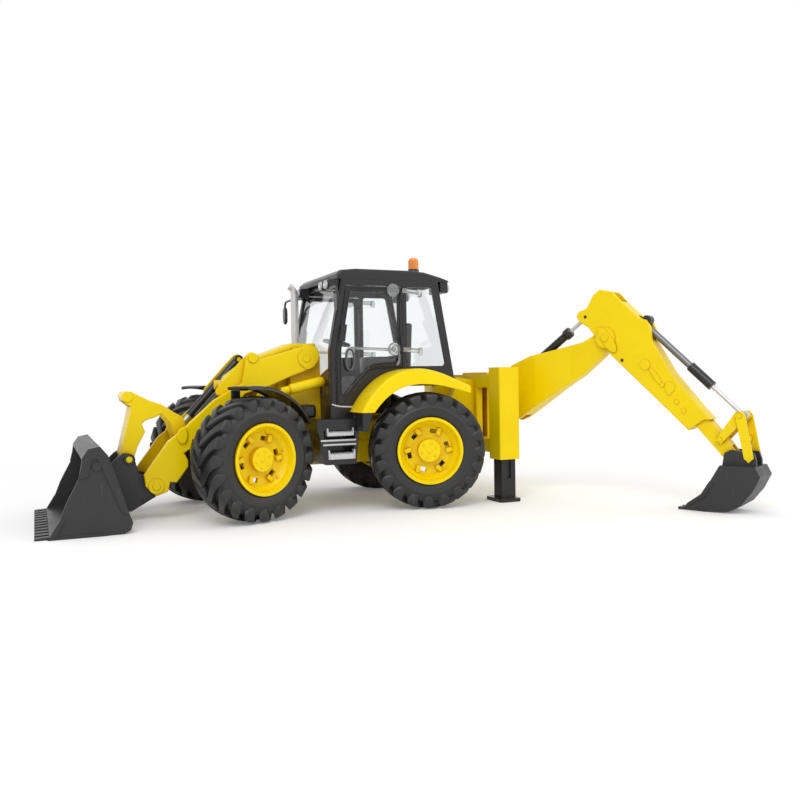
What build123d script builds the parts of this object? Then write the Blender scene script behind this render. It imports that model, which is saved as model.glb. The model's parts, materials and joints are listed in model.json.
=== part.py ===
from build123d import *
import math
import os

# Toy backhoe loader, about 1:16. Millimetres. X runs to the rear, -Y is the left side seen in
# the photo, Z is up from the ground. The pose is the photo's: wheels steered, loader bucket on
# the ground, stabilisers down and the backhoe swung to the left.

os.makedirs("parts", exist_ok=True)

# where the machine's rear kingpin line on the ground sits in the exported frame
ORIGIN_X = 42.7
ORIGIN_Y = 68.7

# wheels and axles
WHEELBASE = 159.0
KINGPIN_Y = 50.0
TYRE_OD = 98.0
TYRE_WIDTH = 38.0
TYRE_OFFSET = 16.0
RIM_R = 28.0
RIM_BARREL_R = 25.0
RIM_WALL = 1.6
FLANGE_Y = 34.9
STUB_R = 3.5
HUB_R = 9.5
HUB_RECESS = 4.8
HUB_BACK = -7.0
RIM_HOLES = 6
LUGS = 20
LUG_HEIGHT = 5.0
LUG_WIDTH = 6.4
LUG_TURN = 38.0
KINGPIN_R = 2.6
BEAM_H = 15.0
BEAM_W = 14.0
FRONT_STEER = 21.4
REAR_STEER = -12.8
STEER_ARM = 12.0
TIE_ROD_R = 1.6
TIE_ROD_DROP = 14.8
TURN_GAP = 0.1
MOVE_GAP = 1.0
AXLE_Z = TYRE_OD / 2
GUARD_GAP = 5.5
STEP_FRONT = -WHEELBASE + TYRE_OD / 2 + 10.5

# chassis
CHASSIS_HALF = 19.0
CHASSIS_BOTTOM = AXLE_Z + 8.0
CHASSIS_TOP = 72.0
HOOD_HALF = 17.0
GRILLE_BARS = 5
EXHAUST = (-95.0, 22.5)

# loader
LIFT_PIN = (-97.6, 127.6)
ARM_IN = 27.0
ARM_T = 5.0
DUMP_PIN = (-222.0, 28.0)
TILT_TOP = (-143.2, 128.3)
TILT_EYE = (-200.0, 65.6)
TILT_Y = 22.0
RAM_R = 3.8
ROD_R = 2.0
LIFT_BASE = (-88.0, 108.0)
LIFT_EYE = (-134.0, 97.0)
LIFT_RAM_Y = 36.4
LIFT_RAM_R = 3.4
PIN_R = 2.5
BUCKET_HALF = 75.5
BUCKET_T = 2.5
HITCH_IN = 13.2
HITCH_OUT = 17.2
LUG_IN = 18.0
LUG_T = 3.6

# cab
CAB_HALF = 53.0
CAB_FRONT = -84.0
CAB_FOOT = 72.0
STEP_RIBS = 6
CAB_WALL = 2.5
ROOF_Z = 193.0
ROOF_T = 9.0
ROOF_RIBS = 5
DOOR_REAR = -17.0
GLASS_T = 1.0
LAMP_INSET = 7.0
LAMP_W = 9.0
LAMP_PITCH = 13.0

# rear frame, stabilisers and backhoe
HOUSING_X0 = 63.0
HOUSING_X1 = 83.0
HOUSING_OUT = 76.7
HOUSING_W = 19.3
HOUSING_Z0 = 37.0
HOUSING_Z1 = 118.0
HOUSING_WALL = 2.4
FOOT_T = 3.0
KING_X = 95.0
SWING = -63.2
BOOM_FOOT = (32.0, 84.0)
ELBOW = (127.4, 142.0)
BOOM_HALF = 9.5
TONGUE_HALF = 4.5
BOOM_TIP_HALF = 5.0
DIPPER_HALF = 8.0
DIPPER_WALL = 2.2
HOE_PIN = (233.0, 44.0)
HOE_HALF = 16.0


def box(x0, x1, y0, y1, z0, z1):
    return Pos((x0 + x1) / 2, (y0 + y1) / 2, (z0 + z1) / 2) * Box(x1 - x0, y1 - y0, z1 - z0)


def plate(points, y0, y1, r=0.0):
    """A side-view outline (x, z) carried across from y0 to y1, its corners rounded by r."""
    line = Polyline(*points, close=True) if r == 0 else FilletPolyline(*points, radius=r, close=True)
    face = make_face(Plane.XZ * line)
    return Pos(0, y0, 0) * extrude(face, amount=y1 - y0, dir=(0, 1, 0))


def bevelled(points, y0, y1, size, sides=(1,)):
    """A plate whose outline is bevelled on its +Y side, its -Y side or both."""
    solid = plate(points, y0, y1)
    for side in sides:
        face = solid.faces().sort_by(Axis.Y)[-1 if side > 0 else 0]
        solid = chamfer(face.edges(), size)
    return solid


def cross(x, z, r, y0, y1):
    """A round bar along Y."""
    return Pos(x, (y0 + y1) / 2, z) * Rot(90, 0, 0) * Cylinder(r, y1 - y0)


def bar(a, b, r, y, start=0.0, stop=None):
    """A round bar in the plane y from point a toward point b, from start to stop along it."""
    ax, az = a
    bx, bz = b
    full = math.hypot(bx - ax, bz - az)
    stop = full if stop is None else stop
    ux, uz = (bx - ax) / full, (bz - az) / full
    mid = (start + stop) / 2
    angle = math.degrees(math.atan2(ux, uz))
    return Pos(ax + ux * mid, y, az + uz * mid) * Rot(0, angle, 0) * Cylinder(r, stop - start)


def both(solid):
    """The solid and its mirror across the centre plane, as one part."""
    return solid + mirror(solid, Plane.XZ)


pieces = {}


def keep(name, solid, place=None):
    pieces[name] = (place * solid) if place is not None else solid


# wheels, knuckles and axles


def tyre():
    """Carcass of as many flats as bars in a row, with two rows of slanted bars fused to it."""
    half = TYRE_WIDTH / 2
    crown = TYRE_OD / 2 - LUG_HEIGHT
    top = TYRE_OD / 2 - 0.1
    seat = RIM_BARREL_R + RIM_WALL
    stations = [(-half + 1.5, seat + 3.4), (-half, seat + 7), (-half + 2.5, crown - 2),
                (half - 2.5, crown - 2), (half, seat + 7), (half - 1.5, seat + 3.4)]
    carcass = loft([Plane.XZ.offset(-y) * RegularPolygon(r, LUGS) for y, r in stations], ruled=True)
    section = [(0.6, crown - 3), (0.6, top), (9, top - 0.7), (14.6, top - 4.2), (half - 0.6, top - 13),
               (half - 0.4, top - 15.5), (half - 3, top - 15.5)]
    lug = extrude(make_face(Plane.YZ * Polyline(*section, close=True)), amount=LUG_WIDTH / 2, both=True)
    lug = Rot(0, 0, LUG_TURN) * lug
    lugs = []
    for k in range(LUGS):
        lugs.append(Rot(0, k * 360 / LUGS, 0) * lug)
        lugs.append(Rot(0, (k + 0.5) * 360 / LUGS, 0) * mirror(lug, Plane.XZ))
    flange_y = FLANGE_Y - TYRE_OFFSET - 3.5
    solid = carcass.fuse(*lugs) - cross(0, 0, seat, -half - 1, half + 1)
    return solid - cross(0, 0, RIM_R + TURN_GAP, flange_y, half + 1)


def rim():
    """Rim with its outer face toward +Y; y = 0 is the tyre's centre plane."""
    face_y = FLANGE_Y - TYRE_OFFSET
    seat = RIM_BARREL_R + RIM_WALL - 0.1
    inner = seat - RIM_WALL
    bore = STUB_R + TURN_GAP
    half = TYRE_WIDTH / 2 - 2.5
    profile = [
        (-half, seat), (face_y - 3.4, seat), (face_y - 1.7, RIM_R), (face_y, RIM_R),
        (face_y, RIM_R - 2.4), (face_y - 5, RIM_R - 4), (face_y - 9.5, 20), (face_y - 10.5, 13),
        (face_y - 10, HUB_R), (face_y - HUB_RECESS, HUB_R), (face_y - HUB_RECESS, 0),
        (face_y - HUB_RECESS - 3, 0), (face_y - HUB_RECESS - 3, bore), (HUB_BACK, bore), (HUB_BACK, HUB_R - 1),
        (face_y - 13.5, HUB_R - 1), (face_y - 12.5, 19), (face_y - 9, inner), (-half, inner),
    ]
    solid = revolve(make_face(Plane.YZ * Polyline(*profile, close=True)), Axis.Y)
    floor_y = face_y - 11
    for k in range(RIM_HOLES):
        solid -= Rot(0, k * 360 / RIM_HOLES + 15, 0) * Pos(0, floor_y, 16.5) * Box(5, 8, 3.6)
    return solid


def knuckle():
    """Knuckle with its stub toward +Y, about the kingpin at the origin, z from the wheel centre."""
    pin = Cylinder(KINGPIN_R, BEAM_H + 12)
    body = Box(9, 9, BEAM_H - 1.0)
    stub = cross(0, 0, STUB_R, 0, FLANGE_Y - HUB_RECESS - 3.5)
    collar = cross(0, 0, 6, 0, 7)
    return pin + body + stub + collar


def steer_arm():
    """Flat arm from the kingpin's foot to the tie rod pin, behind the axle."""
    top = -BEAM_H / 2 - 3.5
    tip = STEER_ARM + TIE_ROD_R + 1.8
    arm = plate([(-4, top - 2), (tip, top - 2), (tip, top), (-4, top)], -3, 3)
    pin = Pos(STEER_ARM, 0, top - 3.4) * Cylinder(TIE_ROD_R, 5.2)
    return arm + pin


def axle_beam(x):
    z = AXLE_Z
    reach = KINGPIN_Y - 8
    beam = box(x - BEAM_W / 2, x + BEAM_W / 2, -reach, reach, z - BEAM_H / 2, z + BEAM_H / 2)
    for side in (-1, 1):
        for end in (-1, 1):
            ear_z = z + end * (BEAM_H / 2 + 1.5)
            ear = Pos(x, side * (KINGPIN_Y - 6), ear_z) * Box(BEAM_W - 2, 12, 3)
            ear += Pos(x, side * KINGPIN_Y, ear_z) * Cylinder(BEAM_W / 2 - 1, 3)
            ear -= Pos(x, side * KINGPIN_Y, ear_z) * Cylinder(KINGPIN_R + TURN_GAP, 8)
            beam += ear
    pad = box(x - BEAM_W / 2, x + BEAM_W / 2, -12, 12, z + BEAM_H / 2, CHASSIS_BOTTOM)
    return beam + pad


def front_guard():
    """Cycle wing over a front wheel, carried by the knuckle; kingpin frame, wheel toward +Y."""
    reach = TYRE_OD / 2 + GUARD_GAP
    arc = [(-27, 1.09), (-15, 1.027), (0, 1.0), (12, 0.985), (25, 0.965), (37, 0.955), (43.6, 0.945), (46.5, 0.935)]
    outer = [(x, math.sqrt((reach * k + 2) ** 2 - x ** 2)) for x, k in arc]
    inner = [(x * 0.965, math.sqrt((reach * k) ** 2 - (x * 0.965) ** 2)) for x, k in arc]
    shell = plate(outer + inner[::-1], 4, TYRE_OFFSET + TYRE_WIDTH / 2 - 1)
    top = BEAM_H / 2 + 6
    under = reach + 1.0
    stay = box(-4, 4, -6.5, 5, under - 1.8, under) + box(-4, 4, -6.5, -4.5, top, under)
    stay += box(-4, 4, -6.5, 4, top, top + 2)
    return shell + stay


for axle, x, turn in (("front", -WHEELBASE, FRONT_STEER), ("rear", 0.0, REAR_STEER)):
    keep(f"{axle}_axle_beam", axle_beam(x))
    for side, sign in (("left", -1), ("right", 1)):
        here = Pos(x, sign * KINGPIN_Y, AXLE_Z) * Rot(0, 0, turn)
        flip = Plane.XZ if sign < 0 else None

        def turned(solid):
            return mirror(solid, flip) if flip is not None else solid

        keep(f"{axle}_{side}_knuckle", turned(knuckle() + steer_arm()), here)
        keep(f"{axle}_{side}_tyre", turned(Pos(0, TYRE_OFFSET, 0) * tyre()), here)
        keep(f"{axle}_{side}_rim", turned(Pos(0, TYRE_OFFSET, 0) * rim()), here)
        if axle == "front":
            keep(f"front_{side}_mudguard", turned(front_guard()), here)
    pin_x = x + STEER_ARM * math.cos(math.radians(turn))
    shift = STEER_ARM * math.sin(math.radians(turn))
    rod_z = AXLE_Z - TIE_ROD_DROP
    rod = cross(pin_x, rod_z, TIE_ROD_R, -KINGPIN_Y + shift, KINGPIN_Y + shift)
    for sign in (-1, 1):
        eye = Pos(pin_x, sign * KINGPIN_Y + shift, rod_z) * Cylinder(TIE_ROD_R + 1.8, 2.2)
        rod += eye
    for sign in (-1, 1):
        rod -= Pos(pin_x, sign * KINGPIN_Y + shift, rod_z) * Cylinder(TIE_ROD_R + TURN_GAP, 8)
    keep(f"{axle}_tie_rod", rod)

# chassis, hood and front

chassis = box(-169, 66, -CHASSIS_HALF, CHASSIS_HALF, CHASSIS_BOTTOM, CHASSIS_TOP)
chassis += box(-128, -30, -15, 15, 36, CHASSIS_BOTTOM)
tower = plate([(-110, 66), (-84, 66), (-84, 130), (-88, 137), (-105, 137), (-110, 130)],
              CHASSIS_HALF, ARM_IN - MOVE_GAP / 2)
chassis += both(tower)
lift_pins = cross(LIFT_PIN[0], LIFT_PIN[1], 3.2, ARM_IN - MOVE_GAP, ARM_IN + ARM_T + 1.5)
lift_pins += cross(LIFT_BASE[0], LIFT_BASE[1], PIN_R, ARM_IN - MOVE_GAP, LIFT_RAM_Y + 2.5)
chassis += both(lift_pins)
rear_plate = plate([(38, 60), (66, 60), (66, 107), (47, 110), (47, 100), (38, 84)], 20 - 1, 25)
chassis += both(rear_plate)
keep("chassis_frame", chassis)

hood = plate([(-164, 72), (-164, 104), (-159, 114), (-140, 128), (-106, 141), (-84, 141), (-84, 72)], -HOOD_HALF, HOOD_HALF)
hood = fillet(hood.edges().filter_by(lambda e: abs(e.center().Y) > HOOD_HALF - 0.1 and e.center().Z > 100), 4)
hood += box(-165, -164, -14, 14, 76, 100)
for k in range(GRILLE_BARS):
    z = 78 + k * 20 / (GRILLE_BARS - 1)
    hood += box(-166.2, -164.5, -12, 12, z, z + 1.6)
for k in range(GRILLE_BARS):
    x = -152 + k * 7
    hood -= both(plate([(x, 88), (x + 2.4, 88), (x + 5.4, 106), (x + 3, 106)], HOOD_HALF - 0.8, HOOD_HALF + 1))
for side in (-1, 1):
    hood += Pos(-164.5, side * 11, 106.5) * Rot(0, 90, 0) * Cylinder(4, 4)
keep("hood", hood)

stack = Spline((EXHAUST[0], EXHAUST[1], 137), (EXHAUST[0], EXHAUST[1], 165), (EXHAUST[0], EXHAUST[1], 178),
               (EXHAUST[0] - 4, EXHAUST[1], 187))
pipe = sweep(Pos(EXHAUST[0], EXHAUST[1], 137) * Circle(2.6), path=stack)
keep("exhaust_stack", pipe + Pos(EXHAUST[0], EXHAUST[1], 158) * Cylinder(3.4, 34))

# cab

cab_side = [(-84, 72), (-84, 134), (-73, ROOF_Z), (16, ROOF_Z), (31, 110), (31, 103), (-50, 103), (-62, 90), (-62, 72)]
cab = plate(cab_side, -CAB_HALF, CAB_HALF)
w = CAB_WALL
hollow = [(-84 + w, 72 - 1), (-84 + w, 134), (-73 + w, ROOF_Z + 1), (16 - w, ROOF_Z + 1), (31 - w, 110),
          (31 - w, 103 + w), (-51, 103 + w), (-62 - w, 91), (-62 - w, 71)]
cab -= plate(hollow, -CAB_HALF + w, CAB_HALF - w)
door_hole = [(-79, 87.5), (-79, 134), (-69, ROOF_Z - 5), (DOOR_REAR - 1, ROOF_Z - 5), (DOOR_REAR - 1, 119),
             (-43.8, 117.7), (-49.2, 116.4), (-54.2, 111.4), (-59.2, 106.1), (-64.2, 100.9), (-69.2, 94.4), (-74.2, 87.5)]
cab -= both(plate(door_hole, CAB_HALF - w - 1, CAB_HALF + 1))
side_hole = [(DOOR_REAR + 3, ROOF_Z - 5), (10, ROOF_Z - 5), (23, 120), (DOOR_REAR + 3, 120)]
cab -= plate(side_hole, -CAB_HALF - 1, CAB_HALF + 1, 3)
cab -= box(-90, -60, -CAB_HALF + 5, CAB_HALF - 5, 96, ROOF_Z - 4)
cab -= box(5, 40, -CAB_HALF + 5, CAB_HALF - 5, 116, ROOF_Z - 4)
rib = plate([(-83, 87.5), (-83, 134), (-72, ROOF_Z - 1), (-70.4, ROOF_Z - 1), (-81, 134), (-81, 87.5)],
            CAB_HALF - 0.5, CAB_HALF + 1)
cab += both(rib)
keep("cab_frame", cab)


def pane(points, side, thick=GLASS_T, inset=0.6):
    """A flat side pane just inside the cab's outer face."""
    a = CAB_HALF - inset - thick
    solid = plate(points, a, a + thick, 3)
    return solid if side > 0 else mirror(solid, Plane.XZ)


glass = box(-84 + 0.6, -84 + 1.6, -CAB_HALF + 5, CAB_HALF - 5, 96, 134)
slope = [(-83.4, 134), (-72.9 + 0.6, ROOF_Z - 4), (-72.9 + 1.6, ROOF_Z - 4), (-82.4, 134)]
glass += plate(slope, -CAB_HALF + 5, CAB_HALF - 5)
rear_slope = [(16 - 0.1, ROOF_Z - 4), (30.1 - 1.0, 116), (30.1 - 2.0, 116), (16 - 1.1, ROOF_Z - 4)]
glass += plate(rear_slope, -CAB_HALF + 5, CAB_HALF - 5)
side_glass = [(DOOR_REAR + 3, ROOF_Z - 5), (10, ROOF_Z - 5), (23, 120), (DOOR_REAR + 3, 120)]
door_leaf = [(-78.5, 88), (-78.5, 134), (-68.7, ROOF_Z - 5.5), (DOOR_REAR - 1.6, ROOF_Z - 5.5),
             (DOOR_REAR - 1.6, 119.6), (-44, 118.3), (-49, 117), (-54, 112), (-59, 106.7), (-64, 101.5), (-69, 95), (-74, 88)]
door_glass = [(-74.5, 96), (-74.5, 134), (-65.5, ROOF_Z - 9), (DOOR_REAR - 5.5, ROOF_Z - 9),
              (DOOR_REAR - 5.5, 123.5), (-46, 122), (-58, 112), (-68, 100), (-72, 96)]
for side, sign in (("left", -1), ("right", 1)):
    glass += pane(side_glass, sign)
    leaf = plate(door_leaf, CAB_HALF - 2.2, CAB_HALF)
    leaf -= plate(door_glass, CAB_HALF - 3, CAB_HALF + 1)
    for z in (142, 180):
        leaf += Pos(DOOR_REAR - 2.2, CAB_HALF + 0.9, z) * Cylinder(1.2, 7)
    pane_solid = plate(door_glass, CAB_HALF - 1.6, CAB_HALF - 0.6)
    grip = plate([(-76, 141), (-71, 141), (-69, 155), (-74, 155)], CAB_HALF, CAB_HALF + 2)
    leaf += grip
    if sign < 0:
        leaf, pane_solid = mirror(leaf, Plane.XZ), mirror(pane_solid, Plane.XZ)
    keep(f"door_{side}", leaf)
    keep(f"door_{side}_glass", pane_solid)

keep("cab_glass", glass)

roof = plate([(-76, ROOF_Z), (-77, ROOF_Z + 4), (-73, ROOF_Z + 7.5), (-60, ROOF_Z + ROOF_T), (-8, ROOF_Z + ROOF_T),
              (4, ROOF_Z + 8), (18, ROOF_Z + 4.5), (26, ROOF_Z + 1.5), (27, ROOF_Z)], -CAB_HALF, CAB_HALF)
roof = fillet(roof.edges().filter_by(lambda e: abs(e.center().Y) > CAB_HALF - 0.1 and e.center().Z > ROOF_Z + 3), 2)
for k in range(ROOF_RIBS):
    y = (k - (ROOF_RIBS - 1) / 2) * 18
    roof += box(-58, -10, y - 4, y + 4, ROOF_Z + ROOF_T - 0.5, ROOF_Z + ROOF_T + 0.6)
keep("cab_roof", roof)
beacon_x, beacon_y = 6.0, -25.0
beacon_base = Pos(beacon_x, beacon_y, ROOF_Z + ROOF_T + 2) * Cylinder(5.6, 5)
dome = Cylinder(4.6, 10) + Pos(0, 0, 5) * Cone(4.6, 3.2, 1.4, align=(Align.CENTER, Align.CENTER, Align.MIN))
keep("beacon", beacon_base + Pos(beacon_x, beacon_y, ROOF_Z + ROOF_T + 9) * dome)
lamps = Part()
lamp_face = [(-83, 184), (-75, 184), (-73.4, ROOF_Z - 0.2), (-83, ROOF_Z - 0.2)]
for sign in (-1, 1):
    for y in (CAB_HALF - LAMP_INSET, CAB_HALF - LAMP_INSET - LAMP_PITCH):
        lamps += plate(lamp_face, sign * y - LAMP_W / 2, sign * y + LAMP_W / 2)
        lamps += Pos(-83, sign * y, 188.4) * Rot(0, 90, 0) * Cylinder(3.4, 2)
        rear_lamp = Pos(22.5, sign * (y + 2), 188.3)
        lamps += rear_lamp * Box(7, LAMP_W, 9) + rear_lamp * Pos(3.5, 0, 0) * Rot(0, 90, 0) * Cylinder(3.4, 2)
keep("work_lamps", lamps)

floor = plate([(-81.5, 72.5), (-64.5, 72.5), (-64.5, 91), (-51, 105.5), (28, 105.5), (28, 107.5), (-52, 107.5),
               (-66.5, 92), (-66.5, 75), (-81.5, 75)], -CAB_HALF + w, CAB_HALF - w)
keep("cab_floor", floor)
cushion = box(-20, 8, -11, 11, 112, 122)
backrest = plate([(1, 120), (9, 120), (11, 160), (5, 160)], -11, 11)
seat = fillet(cushion.edges().filter_by(lambda e: e.center().X < -19 or e.center().Z > 121), 2.5)
seat += fillet(backrest.edges().filter_by(lambda e: e.center().Z > 130), 2.5)
seat += box(-12, 4, -8, 8, 107.5, 112.5) + both(box(-14, 6, 11, 14, 126, 130) + box(2, 6, 10, 12, 124, 130))
keep("seat", seat)
column = bar((-73, 75.6), (-59.4, 141), 2.2, 0) + box(-76, -70, -6, 6, 75, 80)
ring = revolve(Pos(11, 0, 0) * Plane.XZ * RegularPolygon(1.4, 6), Axis.Z)
wheel = Pos(-59, 0, 142) * Rot(0, 12, 0) * (ring + Box(21, 3, 1.6) + Cylinder(3, 3.4))
keep("steering_wheel", column + wheel)

fenders = Part()
steps = Part()
mirrors = Part()
for sign in (-1, 1):
    arch = [(-66, 84), (-57, 96.6), (-42, 108.5), (-28, 115), (-10, 117), (8.5, 113.6), (22.6, 105.8), (32, 97)]
    under = [(30, 95), (21, 103.2), (7.8, 110.8), (-10, 114.2), (-27, 112.2), (-40.4, 106), (-55, 94.6), (-63.6, 83)]
    fender = plate(arch + under, CAB_HALF, 82)
    low = [(x * 0.93 - 0.2, 49 + (z - 49) * 0.93) for x, z in under]
    fender += plate(arch + low, 80, 82)
    fenders += fender if sign > 0 else mirror(fender, Plane.XZ)
    step = plate([(STEP_FRONT, 77), (-63, 77), (-63, 72), (-66, 40), (STEP_FRONT + 7.5, 40), (STEP_FRONT + 2.5, 52),
                  (STEP_FRONT + 2.5, 62), (STEP_FRONT, 68)], CHASSIS_HALF + 1, 64)
    step -= plate([(STEP_FRONT + 8.5, 49), (-68, 49), (-68, 56), (STEP_FRONT + 8.5, 56)], 50, 70)
    step -= plate([(STEP_FRONT + 5.5, 60), (-67, 60), (-67, 68), (STEP_FRONT + 5.5, 68)], 50, 70)
    step -= box(STEP_FRONT - 5, CAB_FRONT + 2, 10, 40, 60, 80)
    step -= box(CAB_FRONT - 0.3, -60, 10, CAB_HALF + 0.3, CAB_FOOT - 0.2, 80)
    for k in range(STEP_RIBS):
        x = STEP_FRONT + 10 + k * (-70 - STEP_FRONT - 10) / (STEP_RIBS - 1)
        step += box(x - 0.8, x + 0.8, 52, 63.5, 48.8, 49.8) + box(x - 0.8, x + 0.8, 52, 63.5, 59.8, 60.8)
    steps += step if sign > 0 else mirror(step, Plane.XZ)
    glass_box = box(-84, -81.5, CAB_HALF + 3, CAB_HALF + 10, 165, 181)
    mir = fillet(glass_box.edges().filter_by(Axis.X), 2.5)
    mir += cross(-82.8, 177, 1.0, CAB_HALF + 1, CAB_HALF + 4)
    mir += box(-84, -72.6, CAB_HALF + 1, CAB_HALF + 2, 175.5, 178.5)
    mirrors += mir if sign > 0 else mirror(mir, Plane.XZ)
keep("rear_fenders", fenders)
keep("step_units", steps)
keep("wing_mirrors", mirrors)

# stabilisers and rear frame


def housing(sign):
    y0, y1 = HOUSING_OUT - HOUSING_W, HOUSING_OUT
    shell = box(HOUSING_X0, HOUSING_X1, y0, y1, HOUSING_Z0, HOUSING_Z1)
    shell = fillet(shell.edges().filter_by(Axis.Z), 1.2)
    t = HOUSING_WALL
    shell -= box(HOUSING_X0 + t, HOUSING_X1 - t, y0 + t, y1 - t, HOUSING_Z0 - 1, HOUSING_Z1 - t)
    return shell if sign > 0 else mirror(shell, Plane.XZ)


rails = box(66, 80, -(HOUSING_OUT - HOUSING_W), HOUSING_OUT - HOUSING_W, 100, 112)
rails += box(66, 80, -(HOUSING_OUT - HOUSING_W), HOUSING_OUT - HOUSING_W, 42, 54)
rails += box(66, 72, -30, 30, 54, 100)
frame = rails + housing(1) + housing(-1)
keep("stabiliser_frame", frame)
for side, sign in (("left", -1), ("right", 1)):
    t = HOUSING_WALL + 0.6
    y0, y1 = HOUSING_OUT - HOUSING_W + t, HOUSING_OUT - t
    leg = box(HOUSING_X0 + t, HOUSING_X1 - t, y0, y1, FOOT_T, 76)
    foot = box(61, 82, y0 - 7, y1 + 7, 0, FOOT_T)
    leg += fillet(foot.edges().filter_by(Axis.Z), 3)
    leg -= box(70.5, 75.5, y0 - 1, y0 + 2, 20, 40) + box(70.5, 75.5, y1 - 2, y1 + 1, 20, 40)
    keep(f"stabiliser_leg_{side}", leg if sign > 0 else mirror(leg, Plane.XZ))

carriage = box(80.5, 83.5, -24, 24, 40, 114)
for z0, z1 in ((44, 51), (103, 110)):
    carriage += box(83.5, KING_X, -6, 6, z0, z1)
    carriage += Pos(KING_X, 0, (z0 + z1) / 2) * Cylinder(6, z1 - z0)
    carriage -= Pos(KING_X, 0, (z0 + z1) / 2) * Cylinder(3 + TURN_GAP, z1 - z0 + 2)
keep("side_shift_carriage", carriage)

# backhoe, modelled along +X from the kingpost and then swung

swung = Pos(KING_X, 0, 0) * Rot(0, 0, SWING)
post = Pos(0, 0, 77) * Cylinder(3, 68) + Pos(0, 0, 77) * Cylinder(6, 50)
tongue = plate([(0, 54), (14, 54), (36, 72), (39, 84), (36, 92), (14, 100), (0, 100)], -TONGUE_HALF, TONGUE_HALF)
post = post + tongue + cross(BOOM_FOOT[0], BOOM_FOOT[1], PIN_R, -BOOM_HALF, BOOM_HALF)
keep("swing_post", post, swung)

boom_shape = [(24, 76), (34, 68), (42, 71), (63, 85), (83.5, 98), (103.4, 110), (122.6, 126), (130, 134),
              (133, 143), (127, 148.5), (118, 146), (104, 139), (74, 132.5), (53, 128), (33.5, 120), (26, 112), (20.5, 94)]
boom = plate(boom_shape, -BOOM_HALF, BOOM_HALF, 2)
taper = make_face(Polyline((58, BOOM_HALF), (92, BOOM_TIP_HALF), (150, BOOM_TIP_HALF), (150, 20), (58, 20), close=True))
boom -= both(extrude(taper, amount=200))
boom -= cross(BOOM_FOOT[0], BOOM_FOOT[1], PIN_R + TURN_GAP, -20, 20)
boom -= plate([(10, 60), (46, 60), (46, 106), (80, 134), (70, 150), (10, 150)], -TONGUE_HALF - MOVE_GAP, TONGUE_HALF + MOVE_GAP)
boom += cross(ELBOW[0], ELBOW[1], PIN_R, -DIPPER_HALF - 1.5, DIPPER_HALF + 1.5)
RAM_BASE = (40.0, 112.0)
boom += cross(RAM_BASE[0], RAM_BASE[1], 1.6, -TONGUE_HALF - 2, TONGUE_HALF + 2)
keep("boom", boom, swung)

DIPPER_LUG = (107.0, 162.0)
dipper_shape = [(102, 166), (99.5, 162), (102, 157), (110.5, 152), (122, 138), (133, 126), (144, 115.6), (175, 86.8),
                (199, 64), (211.5, 72.6), (217, 73), (208.4, 82.2), (184, 111.6), (168, 139), (167, 149),
                (163.6, 155.4), (158, 157.4), (147.7, 166.5), (140.6, 173.7), (134, 181), (122, 184), (116, 180), (109, 168)]
dipper = bevelled(dipper_shape, -DIPPER_HALF, DIPPER_HALF, 0.7, (-1, 1))
dipper += cross(ELBOW[0], ELBOW[1], 9, -DIPPER_HALF - 1, DIPPER_HALF + 1)
for pad in ((163, 118), (184, 99)):
    dipper += cross(pad[0], pad[1], 4.5, -DIPPER_HALF - 0.6, DIPPER_HALF + 0.6)
inside = DIPPER_HALF - DIPPER_WALL
dipper -= plate([(90, 100), (96, 190), (132, 192), (143, 170), (143, 143), (139, 112), (120, 120)], -inside, inside)
slot_dir = (HOE_PIN[0] - 138, HOE_PIN[1] - 150)
keep_len = math.hypot(*slot_dir)
ux, uz = slot_dir[0] / keep_len, slot_dir[1] / keep_len
nx, nz = -uz, ux


def along(s, t):
    """A point s along the telescopic arm from its pin end and t across it."""
    return (HOE_PIN[0] - ux * s + nx * t, HOE_PIN[1] - uz * s + nz * t)


dipper -= plate([along(10, -6.2), along(92, -6.2), along(92, 6.2), along(10, 6.2)], -inside, inside)
dipper -= cross(ELBOW[0], ELBOW[1], PIN_R + TURN_GAP, -20, 20)
dipper -= plate([(152.5, 153), (159, 146.5), (172, 134), (182, 142), (165, 162), (156, 162)], -3.3, 3.3)
BKT_BASE = (159.0, 153.0)
dipper += cross(BKT_BASE[0], BKT_BASE[1], 1.6, -4, 4)
keep("dipper", dipper, swung)

# telescopic arm and backhoe bucket
SLIDE_GAP = 0.5
half_in = inside - SLIDE_GAP
tele = plate([along(-3, -4), along(3, -6.2 + SLIDE_GAP), along(88, -6.2 + SLIDE_GAP), along(88, 6.2 - SLIDE_GAP),
              along(20, 6.2 - SLIDE_GAP), along(10, 6.2 - SLIDE_GAP), along(-2, 4.5), along(-4.5, 0)], -half_in, half_in)
tele -= plate([along(-8, -20), along(7, -20), along(7, 20), along(-8, 20)], -3, 3)
tele -= cross(HOE_PIN[0], HOE_PIN[1], PIN_R + TURN_GAP, -20, 20)
LEVER_FOOT = along(16, 2.6)
LEVER_TIP = (240.5, 76.5)
LINK_EYE = (247.0, 43.5)
tele += cross(LEVER_FOOT[0], LEVER_FOOT[1], 1.8, -half_in - 3.5, half_in + 3.5)
keep("telescopic_arm", tele, swung)

lever_in = half_in + 0.8
lever_bar = plate([(LEVER_FOOT[0] - 3.5, LEVER_FOOT[1] - 1), (LEVER_FOOT[0] + 1, LEVER_FOOT[1] - 3.8),
                   (LEVER_TIP[0] + 3.6, LEVER_TIP[1] - 1.5), (LEVER_TIP[0] + 1.5, LEVER_TIP[1] + 3.6),
                   (LEVER_TIP[0] - 4, LEVER_TIP[1] + 3)], lever_in, lever_in + 2.4)
lever_bar -= cross(LEVER_FOOT[0], LEVER_FOOT[1], 1.8 + TURN_GAP, 0, 30)
tip_stub = cross(LEVER_TIP[0], LEVER_TIP[1], 1.8, lever_in, lever_in + 5.5)
lever = both(lever_bar + tip_stub) + cross(232.5, 68, 1.5, -lever_in, lever_in)
keep("bucket_lever", lever, swung)

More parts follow.
